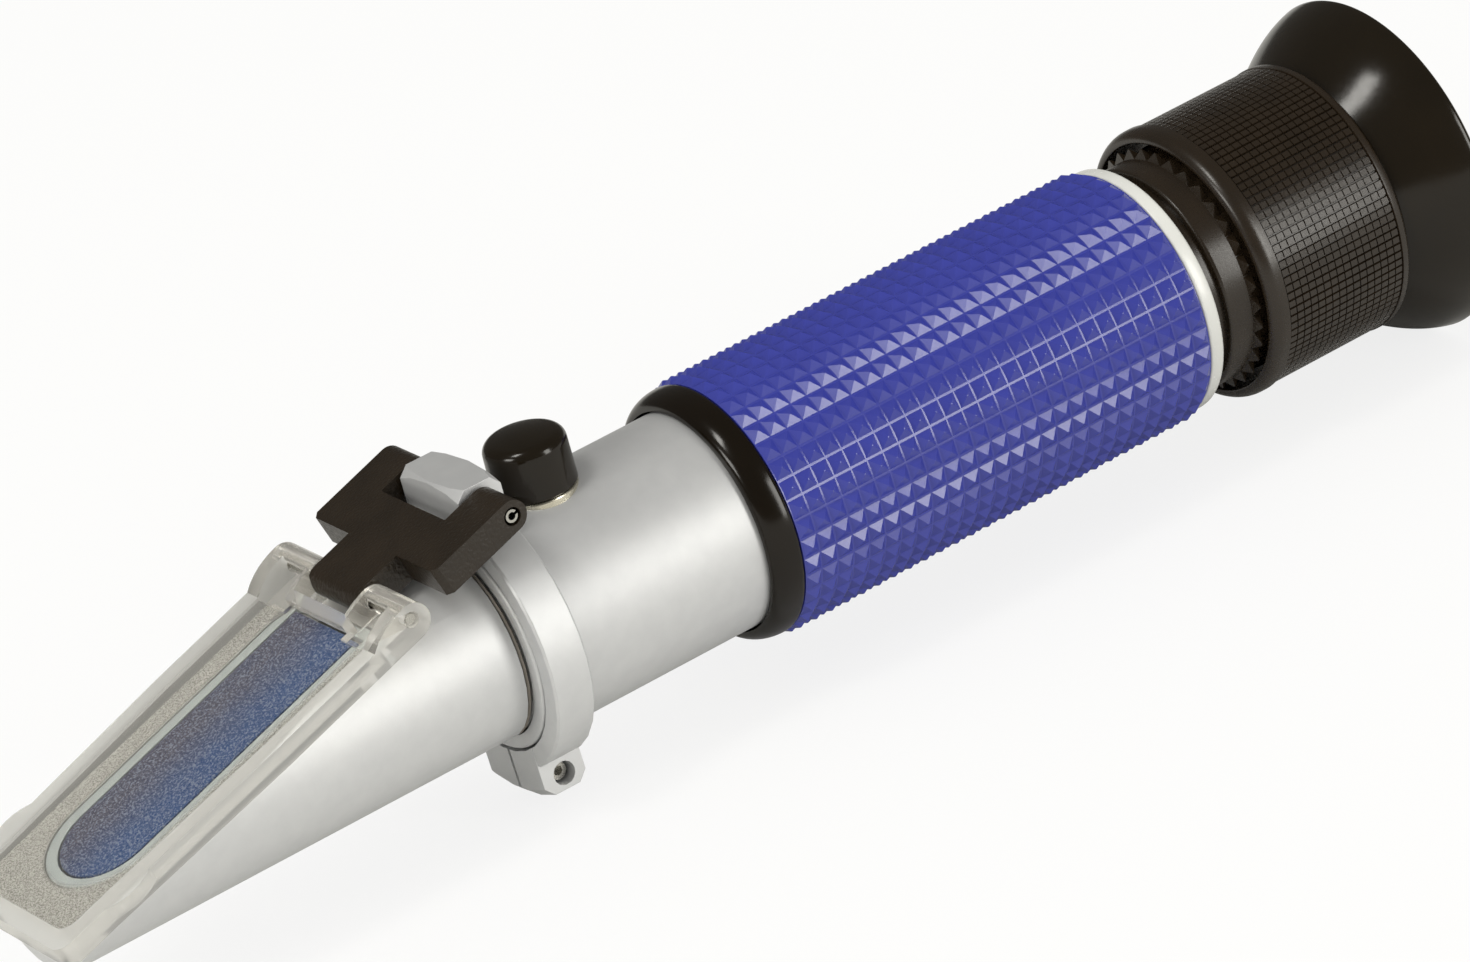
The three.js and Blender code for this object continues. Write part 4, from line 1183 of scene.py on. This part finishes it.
@dataclass
class Eyepiece:
    """The eyepiece tube, the focusing ring with its knurl, and the lenses."""

    edge_round: float = 0.4
    tube_front: float = 78.35
    shoulder: float = 90.35
    tube_rear: float = 111.0
    tube_bore: float = 9.9
    tube_spigot: float = 11.1
    neck_radius: float = 12.8
    neck_length: float = 1.7
    band_length: float = 3.1
    crown: StudField = StudField(
        rows=1, columns=35, pitch=1.0, radius=13.7, height=1.1, share=(1.0, 0.96),
        top=0.1, sink=0.05,
    )
    ring_front: float = 96.0
    ring_rear: float = 115.8
    ring_clearance: float = 0.3
    lip_radius: float = 16.6
    lip_length: float = 2.4
    lip_round: Pair = (1.6, 1.1)
    lip_fall: float = 0.15
    knurl: StudField = StudField(
        rows=16, columns=104, pitch=1.01875, radius=16.1, height=0.3, share=(1.02, 0.88),
        top=0.84, sink=0.02,
    )
    rim_radius: float = 16.5
    rim_rise: float = 0.1
    mouth_radius: float = 15.2
    mouth_depth: float = 3.0
    mouth_round: float = 0.2
    web_length: float = 2.8

    def tube(self) -> None:
        """Builds the tube that the focusing ring turns on."""
        neck_rear = self.shoulder + self.neck_length
        outline = [
            (self.tube_front, self.tube_bore),
            (self.tube_front, self.tube_spigot),
            (self.shoulder, self.tube_spigot),
            (self.shoulder, self.neck_radius),
            (neck_rear, self.neck_radius),
        ]
        band = (neck_rear, self.crown.radius)
        outline += rounded(Corner.FRONT_OUTER, band, self.edge_round, steps=3)
        outline += [(self.tube_rear, self.crown.radius), (self.tube_rear, self.tube_bore)]
        tube = turned("eyepiece_barrel", outline)
        self.crown.put_on(tube, neck_rear + self.band_length, SATIN_ABS)
        settle(tube, "eyepiece_tube", Body.INSTRUMENT, Slot.BLACK)

    def ring(self) -> None:
        """Builds the focusing ring with its knurl."""
        front, rear = self.ring_front, self.ring_rear
        knurl_front = front + self.lip_length
        knurl_rear, core = knurl_front + self.knurl.length(), self.knurl.radius
        mouth_rear, web_front = front + self.mouth_depth, rear - self.web_length
        inner = self.crown.radius + self.ring_clearance
        outline = rounded(Corner.FRONT_OUTER, (front, self.lip_radius), self.lip_round, steps=8)
        outline += [(knurl_front - self.lip_fall, self.lip_radius)]
        outline += [(knurl_front, core), (knurl_rear, core)]
        outline += [(knurl_rear + self.rim_rise, self.rim_radius)]
        outline += rounded(Corner.REAR_OUTER, (rear, self.rim_radius), self.edge_round, steps=3)
        outline += [(rear, self.tube_bore), (web_front, self.tube_bore), (web_front, inner)]
        outline += [(mouth_rear, inner), (mouth_rear, self.mouth_radius)]
        mouth = (front, self.mouth_radius)
        outline += rounded(Corner.FRONT_INNER, mouth, self.mouth_round, steps=3)
        ring = turned("focus_ring_body", outline)
        self.knurl.put_on(ring, knurl_front, SATIN_ABS)
        settle(ring, "focus_ring", Body.RING, Slot.BLACK)

    def build(self) -> None:
        """Builds the tube and the ring, and dresses the lenses and what holds them."""
        self.tube()
        self.ring()
        dress_nodes(SATIN_ABS, "scale_ring", "focus_sleeve", "lens_spacer", "lens_ring")
        dress_nodes(LENS_GLASS, "scale_disc", "field_lens", "eye_lens")


@dataclass
class Eyecup:
    """The flared rubber cup, whose outline bows out from a straight cone by its bell share."""

    front: float = 115.95
    rear: float = 125.45
    bore: float = 9.9
    neck: float = 15.5
    rim: float = 20.3
    wall: float = 1.1
    floor: float = 1.4
    fillet: float = 0.3
    bell_share: float = 0.6
    steps: int = 22
    lip_sweep: Pair = (75, -60)
    sides: int = 192

    def radius(self, share: float) -> float:
        """Gives the outer radius at a share of the length."""
        bow = math.sin(share * math.pi / 2) - share
        return self.neck + (self.rim - self.neck) * (share + self.bell_share * bow)

    def build(self) -> None:
        """Builds the cup."""
        half_wall = self.wall / 2
        length = self.rear - self.front - half_wall
        floor = self.front + self.floor
        shares = [i / self.steps for i in range(self.steps + 1)]
        outer = [(self.front + length * share, self.radius(share)) for share in shares]
        lip_middle = (outer[-1][0], outer[-1][1] - half_wall)
        lip = arc(lip_middle, (half_wall, half_wall), self.lip_sweep, steps=6)
        inner = [(x + half_wall, r - self.wall) for x, r in outer[-2::-1]]
        inner = [(x, r) for x, r in inner if x > floor + self.fillet]
        outline = [(self.front, self.bore)] + outer + lip + inner
        outline += [(floor, self.neck - self.wall), (floor, self.bore)]
        cup = turned("eyecup_rubber", outline, self.sides)
        settle(cup, "eyecup", Body.RING, Slot.RUBBER, POLISHED_RUBBER)


# Studio

WARM_WHITE = linear("#fffdf7")
PLAIN_WHITE = linear("#ffffff")


@dataclass(frozen=True)
class Softbox:
    """A lamp with a square or oblong front.

    Attributes:
        name: the lamp's name.
        place: its middle, in metres.
        size: width and height in metres.
        radiance: brightness of its front.
    """

    name: str
    place: tuple[float, float, float]
    size: Pair
    radiance: float

    def hang(self) -> None:
        """Hangs the lamp, turned towards the middle of the instrument."""
        lamp = bpy.data.lights.new(self.name, "AREA")
        lamp.shape = "RECTANGLE"
        lamp.size, lamp.size_y = self.size
        lamp.energy = math.pi * self.size[0] * self.size[1] * self.radiance
        lamp.color = WARM_WHITE[:3]
        thing = bpy.data.objects.new(self.name, lamp)
        spot = Vector(self.place)
        back = spot - Vector((0, 0, AXIS_HEIGHT))
        turn = back.to_track_quat("Z", "Y").to_matrix().to_4x4()
        thing.matrix_world = Matrix.Translation(spot) @ turn
        bpy.context.scene.collection.objects.link(thing)


@dataclass
class Studio:
    """The pale floor, the soft lights and the camera at the photograph's view.

    Angles are in degrees, and the camera's distance and sensor in millimetres. The floor's glow
    says how much of it is plain white to the camera, to gloss and to glass.
    """

    azimuth: float = -28.3877
    elevation: float = 24.8692
    roll: float = -14.8644
    focal_pixels: float = 8245.41
    distance: float = 891.6
    aim_station: float = 6.3
    image: tuple[int, int] = (1470, 962)
    aim_pixel: Pair = (538.07, 605.72)
    sensor_width: float = 36.0
    floor_half: float = 4.0
    floor_colour: str = "#dcdcda"
    floor_roughness: float = 0.9
    floor_shine: float = 0.2
    floor_glow: tuple[float, float, float] = (0.82, 0.18, 0.5)
    sky_level: float = 0.93
    glass_level: float = 0.55
    gloss_level: float = 0.12
    lights: tuple[Softbox, ...] = (
        Softbox("front_softbox", (0.47, -0.95, 0.2), (0.28, 0.78), 8.6),
        Softbox("top_softbox", (-0.45, -0.1, 0.93), (0.18, 0.3), 15.0),
        Softbox("prism_softbox", (-0.95, -0.13, 0.55), (0.35, 0.25), 10.0),
    )

    def camera(self) -> None:
        """Places the camera."""
        azimuth, pitch, roll = (
            math.radians(angle) for angle in (self.azimuth, 90 - self.elevation, self.roll)
        )
        turn = Matrix.Rotation(azimuth, 4, "Z") @ Matrix.Rotation(pitch, 4, "X")
        turn @= Matrix.Rotation(roll, 4, "Z")
        reach = self.distance * MM
        side, drop = (
            (pixel - pixels / 2) / self.focal_pixels * reach
            for pixel, pixels in zip(self.aim_pixel, self.image)
        )
        place = at(self.aim_station, 0, 0) + turn.to_3x3() @ Vector((-side, drop, reach))
        lens = bpy.data.cameras.new("photograph_view")
        lens.sensor_width = self.sensor_width
        lens.sensor_fit = "HORIZONTAL"
        lens.lens = self.focal_pixels / self.image[0] * self.sensor_width
        camera = bpy.data.objects.new("photograph_view", lens)
        camera.matrix_world = Matrix.Translation(place) @ turn
        bpy.context.scene.collection.objects.link(camera)
        bpy.context.scene.camera = camera

    def floor(self) -> None:
        """Lays the floor."""
        shape = bmesh.new()
        bmesh.ops.create_grid(shape, x_segments=1, y_segments=1, size=self.floor_half)
        floor = as_object("floor", shape)
        material = bpy.data.materials.new("pale_floor")
        tree = emptied(material)
        path = add_node(tree, "ShaderNodeLightPath").outputs
        share: Node | float = 0.0
        for ray, glow in zip(("Camera", "Glossy", "Transmission"), self.floor_glow):
            step = {0: path[f"Is {ray} Ray"], 1: glow, 2: share}
            share = add_node(tree, MATH, step, operation="MULTIPLY_ADD")
        finish = {
            "Base Color": linear(self.floor_colour),
            "Roughness": self.floor_roughness,
            "Specular IOR Level": self.floor_shine,
        }
        matt = add_node(tree, PRINCIPLED, finish)
        # Gloss sees that share without its glow: a darker floor, as in the object's shadow.
        unlit = {0: 1.0, 1: path["Is Glossy Ray"]}
        glow_level = add_node(tree, MATH, unlit, operation="SUBTRACT")
        white = add_node(tree, "ShaderNodeEmission", {"Strength": glow_level})
        mixed = add_node(tree, MIX_SHADER, {0: share, 1: matt, 2: white})
        add_node(tree, "ShaderNodeOutputMaterial", {"Surface": mixed})
        floor.data.materials.append(material)

    def sky(self) -> None:
        """Makes the surroundings white to the eye, and dark where gloss mirrors them."""
        world = bpy.data.worlds.new("studio_sky")
        tree = emptied(world)
        path = add_node(tree, "ShaderNodeLightPath").outputs
        strength: Node | float = self.gloss_level
        levels = {"Diffuse": self.sky_level, "Transmission": self.glass_level, "Camera": 1.0}
        for ray, level in levels.items():
            choice = {0: path[f"Is {ray} Ray"], "A": strength, "B": level}
            strength = add_node(tree, MIX, choice, data_type="FLOAT")
        whites = {0: path["Is Camera Ray"], "A": WARM_WHITE, "B": PLAIN_WHITE}
        hue = add_node(tree, MIX, whites, data_type="RGBA")
        sky = add_node(tree, "ShaderNodeBackground", {"Color": hue, "Strength": strength})
        add_node(tree, "ShaderNodeOutputWorld", {"Surface": sky})
        bpy.context.scene.world = world

    def build(self) -> None:
        """Sets up the whole studio."""
        self.camera()
        self.floor()
        for softbox in self.lights:
            softbox.hang()
        self.sky()
        bpy.context.scene.view_settings.view_transform = "Standard"
        log.info("studio is ready")


def main() -> None:
    """Builds the sub-assemblies in order, then the studio."""
    logging.basicConfig(level=logging.INFO, format="%(name)s: %(message)s")
    for assembly in (
        PrismEnd(),
        DaylightPlate(),
        HingeBlock(),
        ClampRing(),
        BodyTube(),
        Calibration(),
        Grip(),
        Eyepiece(),
        Eyecup(),
        Studio(),
    ):
        assembly.build()


if __name__ == "__main__":
    main()
